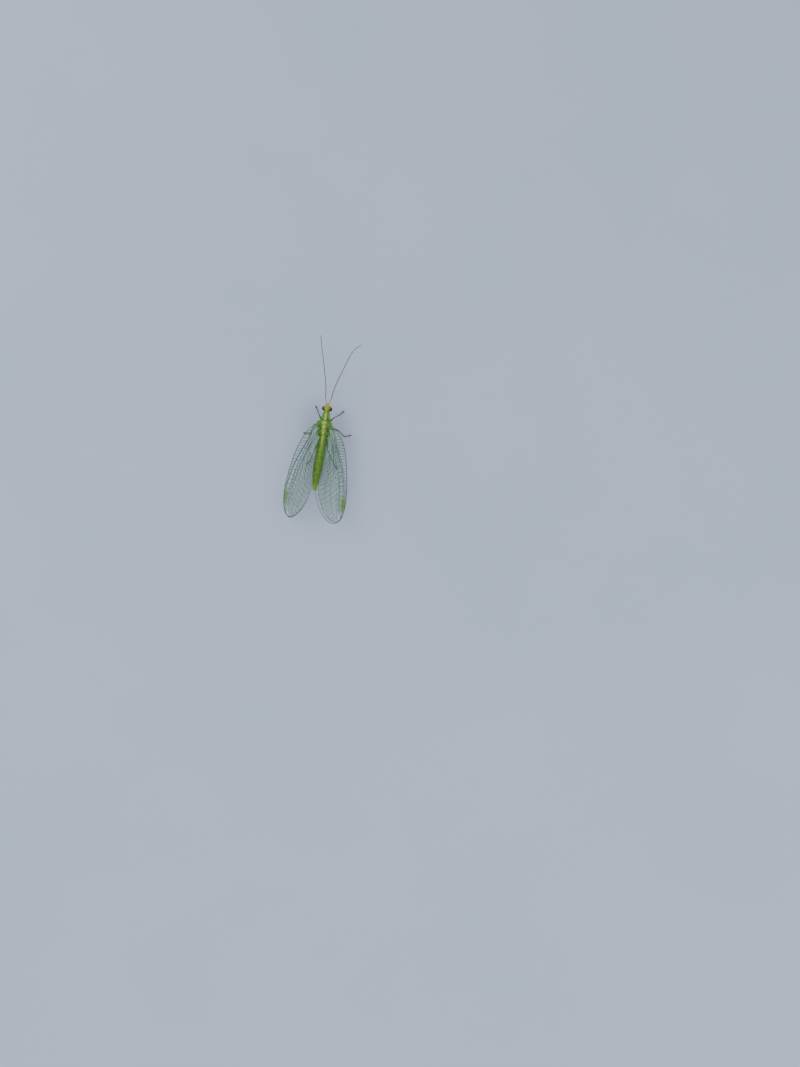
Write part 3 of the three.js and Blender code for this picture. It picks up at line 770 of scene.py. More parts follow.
def vein_finish(colours):
    finish = Finish("wing_vein")
    fine = finish.speckle(0.00008, 2.0)
    colour = finish.mix(finish.kept("green_share"), colours.vein_dark, colours.vein_green)
    colour = finish.mix(fine.between(0.3, 0.7) * 0.4, colour, colours.vein_dark)
    lift = finish.bump(fine, 0.000004, 0.5)
    return finish.dress(Base_Color=colour, Roughness=0.48 + fine * 0.15, Normal=lift, Specular_IOR_Level=0.22)


def mouth_finish(colours):
    finish = Finish("mouthpart_cuticle")
    along = finish.kept("along")
    fine = finish.speckle(0.00005)
    colour = finish.mix(along, colours.face_green, colours.claw)
    lift = finish.bump(fine, 0.000005, 0.5)
    return finish.dress(Base_Color=colour, Roughness=0.35 + fine * 0.2, Normal=lift, Coat_Weight=0.15,
                        Coat_Roughness=0.2)


def floor_finish(colours):
    finish = Finish("pale_floor")
    cloudy = finish.speckle(0.03)
    fine = finish.speckle(0.0006, 2.0)
    colour = finish.mix(cloudy.between(0.3, 0.7), colours.floor, colours.floor_deep)
    return finish.dress(Base_Color=colour, Roughness=0.6 + fine * 0.1, Specular_IOR_Level=0.2)


# Body

def trunk_section(y):
    """Middle, half-width, top and bottom of the trunk at places along it."""
    y = np.asarray(y, float)
    radius = profile(ABDOMEN_RADIUS, y)
    height = axis_height(y)
    in_thorax = y < THORAX_END
    width = np.where(in_thorax, profile(TRUNK_WIDTH, y), radius)
    top = np.where(in_thorax, profile(TRUNK_TOP, y), height + radius)
    bottom = np.where(in_thorax, profile(TRUNK_BOTTOM, y), height - radius * 0.97)
    return middle_x(y), width, top, bottom


def trunk_shell():
    """The trunk as a closed shell of rings, from inside the head to the tail."""
    cap = TAIL_CAP_START + TAIL_CAP_LENGTH * np.sin(np.linspace(0.2, 1.5, 7))
    rows = np.concatenate([np.linspace(TRUNK_START, TAIL_CAP_START, 190), cap])
    past = (rows - TAIL_CAP_START) / TAIL_CAP_LENGTH
    closing = np.where(rows > TAIL_CAP_START, np.sqrt(np.clip(1 - past ** 2, 0.01, 1)), 1.0)
    centre, width, top, bottom = trunk_section(rows)
    middle, half = (top + bottom) / 2, (top - bottom) / 2
    turn = np.linspace(0, 2 * math.pi, TRUNK_SIDES, endpoint=False)
    across = np.sign(np.cos(turn)) * np.abs(np.cos(turn)) ** 0.92
    points = []
    for i, y in enumerate(rows):
        points.append(np.column_stack([centre[i] + across * width[i] * closing[i], np.full(TRUNK_SIDES, y),
                                       middle[i] + np.sin(turn) * half[i] * closing[i]]))
    points += [[[centre[i], rows[i], middle[i]]] for i in (0, -1)]
    # These rings go round the other way than a tube's, so the faces are turned over
    faces = [(face[0], *face[:0:-1]) for face in ring_faces(len(rows), TRUNK_SIDES)]
    return np.vstack(points), faces


# Bulges that are melted into the skin: centre by its distance from the midline, and radii
HEAD_BULGES = [
    ((0, -2.43, 2.84), (0.45, 0.58, 0.49)),
    ((0, -2.2, 3.02), (0.33, 0.36, 0.33)),
    ((0, -2.1, 2.78), (0.42, 0.28, 0.42)),
    ((0, -2.82, 2.6), (0.33, 0.28, 0.42)),
    ((0, -2.93, 2.28), (0.25, 0.2, 0.26)),
    ((0, -3.0, 2.04), (0.2, 0.13, 0.16)),
]
HEAD_PAIRS = [
    ((0.27, -2.6, 2.4), (0.16, 0.26, 0.36)),
    ((0.2, -2.82, 2.97), (0.135, 0.13, 0.13)),
    ((0.17, -2.28, 3.12), (0.16, 0.26, 0.2)),
    ((0.28, -2.42, 2.66), (0.2, 0.4, 0.44)),
]
THORAX_BULGES = [
    ((0, -1.15, 3.2), (0.58, 0.5, 0.19)),
    ((0, -0.82, 3.24), (0.62, 0.34, 0.2)),
    ((0, -1.52, 3.17), (0.52, 0.31, 0.17)),
    ((0, 0.43, 3.6), (0.27, 0.28, 0.3)),
    ((0, 1.38, 3.22), (0.2, 0.22, 0.24)),
    ((0, 0.1, 1.95), (0.36, 0.5, 0.22)),
    ((0, 1.2, 1.95), (0.32, 0.42, 0.2)),
]
THORAX_PAIRS = [
    ((0.34, -0.1, 3.48), (0.36, 0.42, 0.4)),
    ((0.3, 1.05, 3.2), (0.32, 0.32, 0.3)),
    ((0.68, 0.05, 3.42), (0.3, 0.42, 0.2)),
    ((0.95, -0.05, 3.56), (0.21, 0.25, 0.12)),
    ((0.88, 0.3, 3.52), (0.16, 0.34, 0.1)),
    ((0.52, -0.36, 3.42), (0.3, 0.17, 0.2)),
    ((0.6, 1.12, 2.98), (0.3, 0.38, 0.18)),
    ((0.86, 1.1, 3.0), (0.2, 0.23, 0.12)),
    ((0.76, 1.42, 2.97), (0.15, 0.32, 0.09)),
    ((0.5, -0.1, 2.7), (0.36, 0.36, 0.55)),
    ((0.46, 1.15, 2.55), (0.3, 0.34, 0.5)),
    ((0.32, -0.95, 2.42), (0.26, 0.34, 0.4)),
    ((0.34, 0.15, 2.1), (0.27, 0.32, 0.34)),
    ((0.32, 1.32, 2.1), (0.25, 0.3, 0.32)),
]
TAIL_PAIRS = [
    ((0.1, 9.62, 1.8), (0.15, 0.2, 0.15)),
    ((0.1, 9.58, 1.58), (0.13, 0.2, 0.12)),
]


def body_mass():
    """Every bulge and the trunk as overlapping closed shells."""
    shells = Shells()
    shells.add(*trunk_shell())
    for centre, radii in HEAD_BULGES + THORAX_BULGES:
        shells.add(*ball(on_side(centre, 1), radii))
    for side in (1, -1):
        for centre, radii in HEAD_PAIRS + THORAX_PAIRS:
            shells.add(*ball(on_side(centre, side), radii))
        for (x, y, z), radii in TAIL_PAIRS:
            shells.add(*ball((TAIL_X + x * side, y, z), radii))
    for name in WING_PLACES:
        for x, y, z in Wing(name).place(-HINGE_START, HINGE_KNOBS):
            shells.add(*ball((x, y, z - HINGE_KNOB_DEPTH), HINGE_KNOB_RADII))
    return shells


def melted(shells, voxel, rounds, name):
    """One closed skin round overlapping shells, worked out in millimetres and then set to scale."""
    mesh = bpy.data.meshes.new(name)
    mesh.from_pydata(np.vstack(shells.points).tolist(), [], shells.faces)
    holder = added(name + "_mass", mesh)
    remesh = holder.modifiers.new("skin", "REMESH")
    remesh.mode, remesh.voxel_size, remesh.adaptivity = "VOXEL", voxel, 0.0
    relax = holder.modifiers.new("relax", "SMOOTH")
    relax.factor, relax.iterations = 0.5, rounds
    skin = worked_out(holder, name)
    place_points(skin, read(skin.vertices, "co", 3))
    shade_smooth(skin)
    return added(name, skin)


def ripple(points, size, seed):
    """Smooth random height at each point, about -1 to 1."""
    shifted = points / size + seed
    return np.array([noise.noise(Vector(p)) for p in shifted])


def stroke(points_2d, start, end):
    """Distance of flat places from a straight stroke."""
    start, end = np.array(start, float), np.array(end, float)
    way = end - start
    share = np.clip(((points_2d - start) @ way) / (way @ way), 0, 1)
    return np.linalg.norm(points_2d - start - share[:, None] * way, axis=1)


# Furrows of the back, as strokes (distance from the midline, place along the body), with depth and width
BACK_FURROWS = [
    ((0.0, -1.02), (0.62, -0.9), 0.026, 0.05), ((0.0, -1.5), (0.5, -1.38), 0.014, 0.04),
    ((0.0, -0.52), (0.7, -0.5), 0.05, 0.05), ((0.0, -0.3), (0.12, 0.12), 0.035, 0.035),
    ((0.12, 0.12), (0.34, 0.32), 0.045, 0.04), ((0.34, 0.32), (0.9, 0.42), 0.035, 0.045),
    ((0.0, 0.72), (0.75, 0.68), 0.05, 0.05), ((0.0, 0.92), (0.1, 1.18), 0.03, 0.035),
    ((0.1, 1.18), (0.28, 1.36), 0.035, 0.035), ((0.28, 1.36), (0.7, 1.48), 0.03, 0.04),
    ((0.0, 1.66), (0.6, 1.62), 0.04, 0.05),
]
# Furrows of the flanks, as strokes (place along the body, height), with depth and width
FLANK_FURROWS = [
    ((-0.42, 3.3), (-0.3, 2.0), 0.04, 0.05), ((-0.05, 3.2), (0.2, 1.9), 0.04, 0.045),
    ((0.35, 3.1), (0.62, 1.95), 0.03, 0.04), ((0.72, 3.2), (0.78, 1.9), 0.045, 0.05),
    ((1.05, 2.8), (1.28, 1.95), 0.035, 0.045), ((1.5, 2.8), (1.62, 2.0), 0.03, 0.045),
    ((-1.55, 2.9), (-0.75, 2.5), 0.025, 0.04), ((-0.4, 2.75), (0.65, 2.6), 0.02, 0.035),
]
# The pale line along the back: half its width and its strength as stops along the body, and the painted
# highlights that brighten it in spots on the thorax, as (place along the body, length)
BACK_LINE_WIDTH = [[-2.9, 0.05], [-2.3, 0.09], [-1.9, 0.12], [-1.0, 0.15], [-0.3, 0.24], [0.4, 0.26],
                   [1.2, 0.2], [2.2, 0.17], [4, 0.2], [8, 0.13], [9.6, 0.08]]
BACK_LINE_STRENGTH = [[-3, 0.0], [-2.6, 0.12], [-2.2, 0.35], [-1.5, 0.75], [-0.6, 0.95], [0.8, 0.95],
                      [1.8, 0.68], [2.8, 0.4], [4, 0.26], [5.5, 0.2], [7.5, 0.18], [8.8, 0.1], [9.6, 0.02]]
BACK_LINE_HIGHLIGHTS = ((-1.7, 0.13), (-1.25, 0.12), (-0.89, 0.16), (-0.1, 0.2), (0.55, 0.2), (1.25, 0.2),
                   (2.0, 0.2))
# Pairs of dark marks, as (distance from the midline, place along the body, length, width)
DARK_MARKS = ((0.07, -0.42, 0.08, 0.07), (0.08, 0.24, 0.1, 0.07), (0.05, 0.92, 0.08, 0.06),
              (0.04, 1.66, 0.08, 0.08), (0.14, -1.12, 0.06, 0.04))


class BodyForm:
    """The body skin's points: in which part of the body they lie, and the form, colours and hairs there."""

    def __init__(self, skin):
        self.skin, self.points = skin, points_of(skin)
        self.x, self.y, self.z = self.points.T
        self.centre, _, top, bottom = trunk_section(np.clip(self.y, TRUNK_START, TAIL_Y))
        self.off = np.abs(self.x - self.centre)
        self.over_middle = self.z - (top + bottom) / 2
        self.rise = self.over_middle / np.maximum((top - bottom) / 2, 0.2)
        self.upper = smoothstep(self.rise, 0.05, 0.45)
        self.in_abdomen = smoothstep(self.y, 1.75, 2.1)
        self.in_thorax = (1 - smoothstep(self.y, 1.7, 1.9)) * smoothstep(self.y, -1.95, -1.75)
        self.in_head = 1 - smoothstep(self.y, -2.02, -1.9)
        self.near_tail = 1 - 0.6 * smoothstep(self.y, 8.6, 9.5)
        self.neck = bell(self.y, -1.93, 0.11)
        self.pleura = bell(self.rise, -0.08, 0.17) * self.in_abdomen

    def segments(self):
        """Height of the abdomen's rings, with the folds between them and the wrinkled skin of the sides."""
        length = (TAIL_Y - ABDOMEN_Y) / SEGMENTS
        ring = np.clip((self.y - ABDOMEN_Y) / length, 0, SEGMENTS - 0.001)
        share = ring % 1.0
        self.seam_gap = np.minimum(share, 1 - share) * length
        arch = np.sin(math.pi * np.clip(share * 0.8 + 0.1, 0, 1))
        swell = 0.012 * arch + 0.016 * smoothstep(share, 0.45, 0.9)
        fold = -0.034 * bell(np.where(share < 0.5, share, share - 1) * length - 0.012, 0, 0.045)
        last_ring = np.where(ring < SEGMENTS - 0.5, 1, 0.6)
        height = self.in_abdomen * self.near_tail * (swell + fold) * last_ring
        height -= 0.05 * self.pleura * self.near_tail
        return height + 0.006 * self.pleura * np.sin(self.y * 95 + 6 * ripple(self.points, 0.25, 3.1))

    def furrows(self):
        """Height, below zero, of the furrows that part the thorax's plates."""
        self.furrow = np.zeros(len(self.points))
        flat = np.column_stack([self.off, self.y])
        for start, end, depth, wide in BACK_FURROWS:
            dip = bell(stroke(flat, start, end), 0, wide)
            self.furrow -= 0.7 * depth * dip * self.upper * self.in_thorax
        flat = np.column_stack([self.y, self.z])
        beside = smoothstep(self.off, 0.25, 0.45)
        for start, end, depth, wide in FLANK_FURROWS:
            dip = bell(stroke(flat, start, end), 0, wide)
            self.furrow -= depth * dip * beside * self.in_thorax * (1 - self.upper * 0.6)
        return self.furrow

    def head_lines(self):
        """Height of the lines of the face and of the rims round the eyes and the feelers' roots."""
        coronal = bell(self.x - self.centre, 0, 0.03) * smoothstep(self.z, 3.05, 3.2) * self.in_head
        clypeal = bell(stroke(np.column_stack([self.off, self.z]), (0, 2.44), (0.26, 2.3)), 0, 0.035)
        clypeal = clypeal * self.in_head * smoothstep(-self.y, 2.6, 2.8)
        labral = bell(self.z, 2.13, 0.03) * self.in_head * smoothstep(-self.y, 2.75, 2.9)
        self.face_lines = clypeal + labral
        sockets, eyes = [], []
        for side in (1, -1):
            sockets.append(np.linalg.norm(self.points - on_side(SCAPE_ROOT, side), axis=1))
            away = (self.points - on_side(EYE_CENTRE, side)) / np.array(EYE_RADII)
            eyes.append(np.linalg.norm(away, axis=1))
        self.socket = np.minimum(*sockets)
        self.eye_rim = bell(np.minimum(*eyes), 1.12, 0.09)
        lines = 0.018 * coronal + 0.03 * clypeal + 0.028 * labral
        socket_rim = bell(self.socket, 0.15, 0.03)
        return self.in_head * (0.022 * self.eye_rim - lines) + 0.02 * socket_rim * self.in_head

    def raise_points(self):
        """Moves the points out or in by all heights together, with an uneven surface, coarse to fine."""
        normals = read(self.skin.data.vertices, "normal", 3).astype(float)
        height = self.segments()
        height += self.furrows()
        height += self.head_lines()
        height += self.neck * (0.012 * np.sin(self.y * 110) - 0.02)
        height += 0.011 * ripple(self.points, 0.42, 5.0) + 0.005 * ripple(self.points, 0.16, 1.7)
        height += 0.0035 * ripple(self.points, 0.055, 8.0)
        self.points = self.points + normals * height[:, None]
        place_points(self.skin.data, self.points)

    def back_line(self):
        """Strength of the pale line along the back, with painted highlights that brighten it in spots."""
        wander = 0.03 * ripple(self.points * [0, 1, 0], 0.5, 2.0)
        half = profile(BACK_LINE_WIDTH, self.y)
        line = (1 - smoothstep(self.off + wander, half * 0.5, half * 1.45)) * smoothstep(self.rise, 0.3, 0.6)
        line = np.where(self.in_head > 0.5, line * smoothstep(self.z, 3.0, 3.2), line)
        # Painted highlights: the line is brightened in spots over the thorax
        painted_highlight = np.max([bell(self.y, spot_y, long) for spot_y, long in BACK_LINE_HIGHLIGHTS], axis=0)
        strength = profile(BACK_LINE_STRENGTH, self.y)
        return line * (strength * np.where(self.in_abdomen > 0.5, 1.0, 0.68 + 0.36 * painted_highlight))

    def paint(self):
        """Keeps the markings at the points, with the painted shade of the sides, the underside and the creases.
        """
        marks = np.max([bell(self.off, mark_off, wide) * bell(self.y, mark_y, long)
                        for mark_off, mark_y, long, wide in DARK_MARKS], axis=0)
        seams = bell(self.seam_gap, 0, 0.05) * self.in_abdomen * self.near_tail
        markings = {
            "back_line": self.back_line(),
            # Painted shade, growing from the sides down to the underside
            "flank": smoothstep(-self.rise, -0.35, 0.45) * (1 - self.in_head) * 0.8,
            "tail": smoothstep(self.y, 8.3, 9.3),
            "face": self.in_head * 0.75 + smoothstep(-self.y, 2.5, 2.95) * 0.25,
            "soft": seams + self.pleura * 0.8 + self.neck * 0.6,
            # Painted shade, from the depth of the furrows and along the face's lines
            "crease": np.clip(-self.furrow / 0.035, 0, 1) + self.in_head * 0.6 * self.face_lines,
            "mark": marks * smoothstep(self.z, 3.1, 3.3) * 0.75,
            "blush": bell(self.socket, 0, 0.2) * self.in_head * 0.85,
        }
        for name, values in markings.items():
            store(self.skin.data, name, np.clip(values, 0, 1))

    def guide_hairs(self):
        """Bristles lie back, but forwards on the face, and are denser and longer on the thorax's back."""
        forward = self.in_head * smoothstep(-self.y, 2.5, 2.9)
        back = np.where(self.in_head > 0.5, 0.6 - 1.2 * forward, 1.0)
        up = np.where(forward > 0.4, -0.5, -0.35 * (1 - self.upper))
        lie = np.column_stack([np.zeros(len(self.y)), back, up])
        bare = self.eye_rim * self.in_head
        growth = np.clip((1 - bare) * (0.55 + 0.6 * self.upper + 0.3 * self.in_thorax), 0, 1.5)
        span = 0.62 + 0.45 * self.in_thorax * self.upper
        span = span + 0.25 * self.in_abdomen * smoothstep(self.y, 8, 9.5) - 0.25 * self.in_head
        around = np.arctan2(self.x - self.centre, self.over_middle) / (2 * math.pi) + 0.5
        keep_for_hairs(self.skin, lie, ((self.y + 3.4) / 13.4, around), growth, span)


class GrowBodySkin(bpy.types.Operator):
    """Head, thorax and abdomen as one skin, with plates, furrows and markings"""
    bl_idname = "lacewing.body_skin"
    bl_label = "Grow body skin"

    def execute(self, context):
        sizes, colours = context.scene.lacewing_sizes, context.scene.lacewing_colours
        skin = melted(body_mass(), sizes.skin_detail / MM, rounds=5, name="body_skin")
        if len(skin.data.polygons) < 1000:
            raise RuntimeError("the body's skin came out empty")
        form = BodyForm(skin)
        form.raise_points()
        form.paint()
        form.guide_hairs()
        skin.data.materials.clear()
        skin.data.materials.append(skin_finish(colours))
        finished(skin, "body_skin", "head", "prothorax", "mesothorax", "metathorax", "abdomen")
        return {"FINISHED"}


# Head

class GrowEyes(bpy.types.Operator):
    """Two domed eyes of hexagonal facets"""
    bl_idname = "lacewing.eyes"
    bl_label = "Grow eyes"

    def execute(self, context):
        sizes, colours = context.scene.lacewing_sizes, context.scene.lacewing_colours
        finish = eye_finish(colours)
        for name, side in (("left", 1), ("right", -1)):
            seed = bpy.data.meshes.new("eye_seed")
            grow = Grower("eye_facets", Fineness=sizes.facet_fineness, Dome=sizes.facet_dome)
            inputs = {"Radius": 1.0, "Subdivisions": grow.size("Fineness")}
            sphere = grow.node("GeometryNodeMeshIcoSphere", {}, inputs)
            hexes = grow.node("GeometryNodeDualMesh", {}, {"Mesh": sphere})
            raised = add_node(grow.tree, "GeometryNodeExtrudeMesh", {"mode": "FACES"},
                              {"Mesh": hexes, "Offset Scale": grow.size("Dome"), "Individual": True})
            inputs = {"Geometry": raised.outputs["Mesh"], "Selection": raised.outputs["Top"], "Scale": 0.55}
            domed = grow.node("GeometryNodeScaleElements", {}, inputs)
            inputs = {"Geometry": domed, "Translation": tuple(settled(on_side(EYE_CENTRE, side))),
                      "Scale": tuple(np.array(EYE_RADII) * MM),
                      "Rotation": (0.0, *(math.radians(angle * side) for angle in EYE_TURN))}
            grow.shape = grow.node("GeometryNodeTransform", {}, inputs)
            eye = grow.grown(seed, "eye_dome_" + name, finish)
            # The painted glint: a fixed patch towards the front, the midline and the top of each eye
            away = (points_of(eye) - on_side(EYE_CENTRE, side)) / np.array(EYE_RADII)
            away /= np.linalg.norm(away, axis=1)[:, None]
            way = np.array([GLINT_WAY[0] * side, *GLINT_WAY[1:]])
            angle = np.degrees(np.arccos(np.clip(away @ (way / np.linalg.norm(way)), -1, 1)))
            store(eye.data, "glow", bell(angle, 0, GLINT_SPREAD))
            finished(eye, "eye", "eye_" + name)
        return {"FINISHED"}


class GrowFeelers(bpy.types.Operator):
    """Two feelers: a thick first joint, a short second one and a long chain of rings"""
    bl_idname = "lacewing.feelers"
    bl_label = "Grow feelers"

    def execute(self, context):
        sizes, colours = context.scene.lacewing_sizes, context.scene.lacewing_colours
        finish = feeler_finish(colours)
        for name, route in FEELER_ROUTES.items():
            path = smooth_path(route, 900)
            run = run_along(path)
            base = Shells("along", "blush")
            scape = at_lengths(path, run, np.linspace(*SCAPE_STRETCH, len(SCAPE_GIRTHS)))
            points, faces, share, _ = tube(scape, SCAPE_GIRTHS, 18)
            base.add(points, faces, along=0.0, blush=0.55 * (1 - share))
            pedicel = at_lengths(path, run, np.linspace(*PEDICEL_STRETCH, len(PEDICEL_GIRTHS)))
            points, faces, _, _ = tube(pedicel, PEDICEL_GIRTHS, 16)
            base.add(points, faces, along=0.02, blush=0.2)
            finished(base.piece("feeler_base_" + name, finish), "antenna")

            count = sizes.feeler_rings
            edges = CHAIN_START + (run[-1] - CHAIN_START) * np.linspace(0, 1, count + 1) ** 0.97
            places = at_lengths(path, run, edges)
            seed = bpy.data.meshes.new("feeler_seed")
            seed.from_pydata(settled(places[:-1]).tolist(), [], [])
            share = np.linspace(0, 1, count)
            girth = (CHAIN_GIRTH - CHAIN_TAPER * share) * (1 - 0.25 * smoothstep(share, 0.99, 1.0))
            ahead = np.diff(places, axis=0)
            store(seed, "girth", girth * MM)
            store(seed, "reach", np.linalg.norm(ahead, axis=1) * 1.03 * MM)
            store(seed, "along", share)
            store(seed, "ahead", ahead)

            grow = Grower("feeler_rings", Sides=10)
            dots = grow.node("GeometryNodeMeshToPoints", {}, {"Mesh": grow.shape})
            inputs = {"Vertices": grow.size("Sides"), "Side Segments": 3, "Fill Segments": 1,
                      "Radius Top": 1.0, "Radius Bottom": 0.8, "Depth": 1.0}
            ring = grow.node("GeometryNodeMeshCone", {"fill_type": "TRIANGLE_FAN"}, inputs)
            turn = grow.node("FunctionNodeAlignRotationToVector", {"axis": "Z"},
                             {"Vector": grow.kept("ahead", "FLOAT_VECTOR")})
            scale = grow.node("ShaderNodeCombineXYZ", {}, {0: grow.kept("girth"), 1: grow.kept("girth"),
                                                           2: grow.kept("reach")})
            grow.shape = grow.node("GeometryNodeInstanceOnPoints", {},
                                   {"Points": dots, "Instance": ring, "Rotation": turn, "Scale": scale})
            chain = grow.grown(seed, "feeler_chain_" + name, finish)
            store(chain.data, "blush", np.zeros(len(chain.data.vertices)))
            finished(chain, "antenna", "antenna_" + name)
            guide_hairs_along(chain, smooth_path(route, 60))
        return {"FINISHED"}


def guide_hairs_along(piece, path):
    """Keeps what the bristles of a long thin piece need: they lie along its path."""
    points = points_of(piece)
    nearest = np.argmin(((points[:, None, :] - path[None]) ** 2).sum(2), axis=1)
    away = points - path[nearest]
    around = np.arctan2(away[:, 0], away[:, 2]) / (2 * math.pi) + 0.5
    keep_for_hairs(piece, ways_along(path)[nearest], (nearest / len(path), around))


class GrowMouthparts(bpy.types.Operator):
    """Jaws, and two pairs of jointed palps under the face"""
    bl_idname = "lacewing.mouthparts"
    bl_label = "Grow mouthparts"

    def execute(self, context):
        finish = mouth_finish(context.scene.lacewing_colours)
        shells = Shells("along")
        for side in (1, -1):
            outer = [on_side(p, side) for p in ((0.2, -2.76, 2.05), (0.23, -2.86, 1.86), (0.24, -2.92, 1.66),
                                                (0.21, -2.92, 1.46), (0.17, -2.88, 1.28))]
            inner = [on_side(p, side) for p in ((0.08, -2.76, 1.95), (0.1, -2.82, 1.74), (0.08, -2.82, 1.52))]
            for route, girth, count in ((outer, 0.042, 5), (inner, 0.036, 3)):
                path = smooth_path(route, count * 12 + 1)
                for joint in range(count):
                    part = path[joint * 12:joint * 12 + 12]
                    bulge = np.sin(np.linspace(0.5, 2.7, len(part)))
                    swell = girth * (1 - 0.09 * joint) * (0.72 + 0.28 * bulge)
                    if joint == count - 1:
                        swell = swell * np.linspace(1.05, 0.45, len(part))
                    points, faces, share, _ = tube(part, swell, 12)
                    shells.add(points, faces, along=0.15 + 0.35 * joint / count + 0.2 * share)
            jaw = smooth_path([on_side(p, side) for p in ((0.2, -2.84, 2.12), (0.2, -2.96, 1.98),
                                                          (0.15, -3.04, 1.86), (0.02, -3.05, 1.82))], 14)
            points, faces, share, _ = tube(jaw, np.linspace(0.12, 0.018, 14), 14, 0.6)
            shells.add(points, faces, along=0.25 + 0.75 * smoothstep(share, 0.45, 0.9))
        finished(shells.piece("mouthparts", finish), "head_skin")
        return {"FINISHED"}


# Legs

def spindle(count, start, middle, end, peak=0.4):
    """Girths of a leg joint that swells between its two ends."""
    return profile([[0, start], [peak, middle], [1, end]], np.linspace(0, 1, count))


def bowed(start, end, bow, count=26):
    """A slightly curved path between two places."""
    start, end, bow = np.array(start, float), np.array(end, float), np.array(bow, float)
    t = np.linspace(0, 1, count)[:, None]
    return start + (end - start) * t + bow * 4 * t * (1 - t)


def turned(way, angle, rise):
    """A level way turned by an angle, with a rise of its own."""
    return np.array([way[0] * math.cos(angle) - way[1] * math.sin(angle),
                     way[0] * math.sin(angle) + way[1] * math.cos(angle), rise])


def leg_shells(pair, side_name):
    """One leg from its root in the thorax to its claws."""
    side = 1 if side_name == "left" else -1
    root, hip = (on_side(place, side) for place in LEG_ROOTS[pair])
    knee, ankle, toe = LEG_POSES[f"{pair}_{side_name}"]
    ankle, toe = np.array((*ankle, ANKLE_HEIGHT)), np.array((*toe, TOE_HEIGHT))
    knee = np.array(knee)
    shells = Shells("along", "claw", "lie", "growth", "span", "unwrap")

    def part(path, girths, sides, first, last, bare=0.0, claw=0.0, flatten=1.0):
        points, faces, share, ways = tube(path, girths, sides, flatten)
        along = first + (last - first) * share
        turn = np.tile(np.linspace(0, 1, sides, endpoint=False), len(points) // sides + 1)[:len(points)]
        unwrap = np.column_stack([along / 4.2, 0.05 + 0.9 * turn, np.zeros(len(points))])
        growth = (1 - bare) * smoothstep(points[:, 2], 0.07, 0.16)
        shells.add(points, faces, along=along, claw=claw, lie=ways, growth=growth, span=1.0, unwrap=unwrap)

    part(bowed(root, hip, (0.05 * side, 0, 0), 14), spindle(14, 0.2, 0.19, 0.12, 0.3), 20, 0.0, 0.2, 0.4)
    thigh_start = hip + (knee - hip) * 0.06
    part(bowed(hip + (hip - knee) * 0.03, thigh_start + (knee - hip) * 0.04, (0, 0, 0), 8),
         spindle(8, 0.09, 0.115, 0.095), 16, 0.2, 0.3, 0.3)
    part(bowed(thigh_start, knee, (0, 0, 0.06)), spindle(26, 0.09, 0.135, 0.078, 0.38), 18, 0.3, 1.0)
    part(bowed(knee + (ankle - knee) * -0.02, ankle, (0, 0, 0.05), 34),
         profile([[0, 0.06], [0.08, 0.07], [0.3, 0.058], [0.8, 0.056], [1, 0.066]], np.linspace(0, 1, 34)),
         16, 1.0, 2.0)
    heading = (toe - ankle) / np.linalg.norm(toe - ankle)
    for angle in (0.5, -0.5):
        spur = bowed(ankle, ankle + turned(heading, angle, -0.5) * 0.16, (0, 0, 0), 6)
        part(spur, np.linspace(0.022, 0.005, 6), 8, 2.0, 2.0, 1.0, 0.8)
    foot = smooth_path([ankle, ankle + (toe - ankle) * 0.22 + np.array([0, 0, -0.075]),
                        ankle + (toe - ankle) * 0.55 + np.array([0, 0, -0.055]), toe], 121)
    shares = np.concatenate([[0], np.cumsum(FOOT_SHARES)])
    for k, girth in enumerate(FOOT_GIRTHS):
        first, last = int(120 * shares[k]), int(120 * shares[k + 1])
        joint = foot[first:last + 2]
        part(joint, spindle(len(joint), girth * 0.62, girth * 0.86, girth, 0.5), 14,
             2.0 + 1.4 * shares[k], 2.0 + 1.4 * shares[k + 1])
    for angle in (0.45, -0.45):
        way = turned(heading, angle, 0.0)
        claw = smooth_path([toe, toe + way * 0.07 + (0, 0, 0.05), toe + way * 0.15 + (0, 0, 0.03),
                            toe + way * 0.19 + (0, 0, -0.045)], 12)
        part(claw, np.linspace(0.038, 0.008, 12), 10, 3.5, 3.5, 1.0, 1.0)
    pad = np.array([toe, toe + heading * 0.08 + (0, 0, -0.01), toe + heading * 0.14 + (0, 0, -0.02)])
    part(smooth_path(pad, 8), spindle(8, 0.04, 0.075, 0.06), 12, 3.4, 3.4, 1.0, 0.7, 0.6)
    return shells


class GrowLegs(bpy.types.Operator):
    """Six jointed legs with five-jointed feet, spurs and claws"""
    bl_idname = "lacewing.legs"
    bl_label = "Grow legs"

    def execute(self, context):
        finish = leg_finish(context.scene.lacewing_colours)
        for pair in LEG_ROOTS:
            for side_name in ("left", "right"):
                leg = leg_shells(pair, side_name).piece(f"leg_skin_{pair}_{side_name}", finish)
                if points_of(leg)[:, 2].min() < -FLOOR_SLACK:
                    raise RuntimeError(f"a {pair} leg goes below the floor")
                finished(leg, "leg", f"leg_{pair}_{side_name}")
        return {"FINISHED"}


# Wings

def margin_width(u, root_half, margin):
    """Distance from a wing's axis to one margin at shares u of its length."""
    width, peak, tip_power, root_power = margin
    past = np.clip((u - peak) / (1 - peak), 0, 1)
    before = np.clip((peak - u) / peak, 0, 1)
    outer = 0.02 + (width - 0.02) * (1 - past ** tip_power) ** (1 / tip_power)
    inner = root_half + (width - root_half) * (1 - before ** root_power)
    return np.where(u > peak, outer, inner)


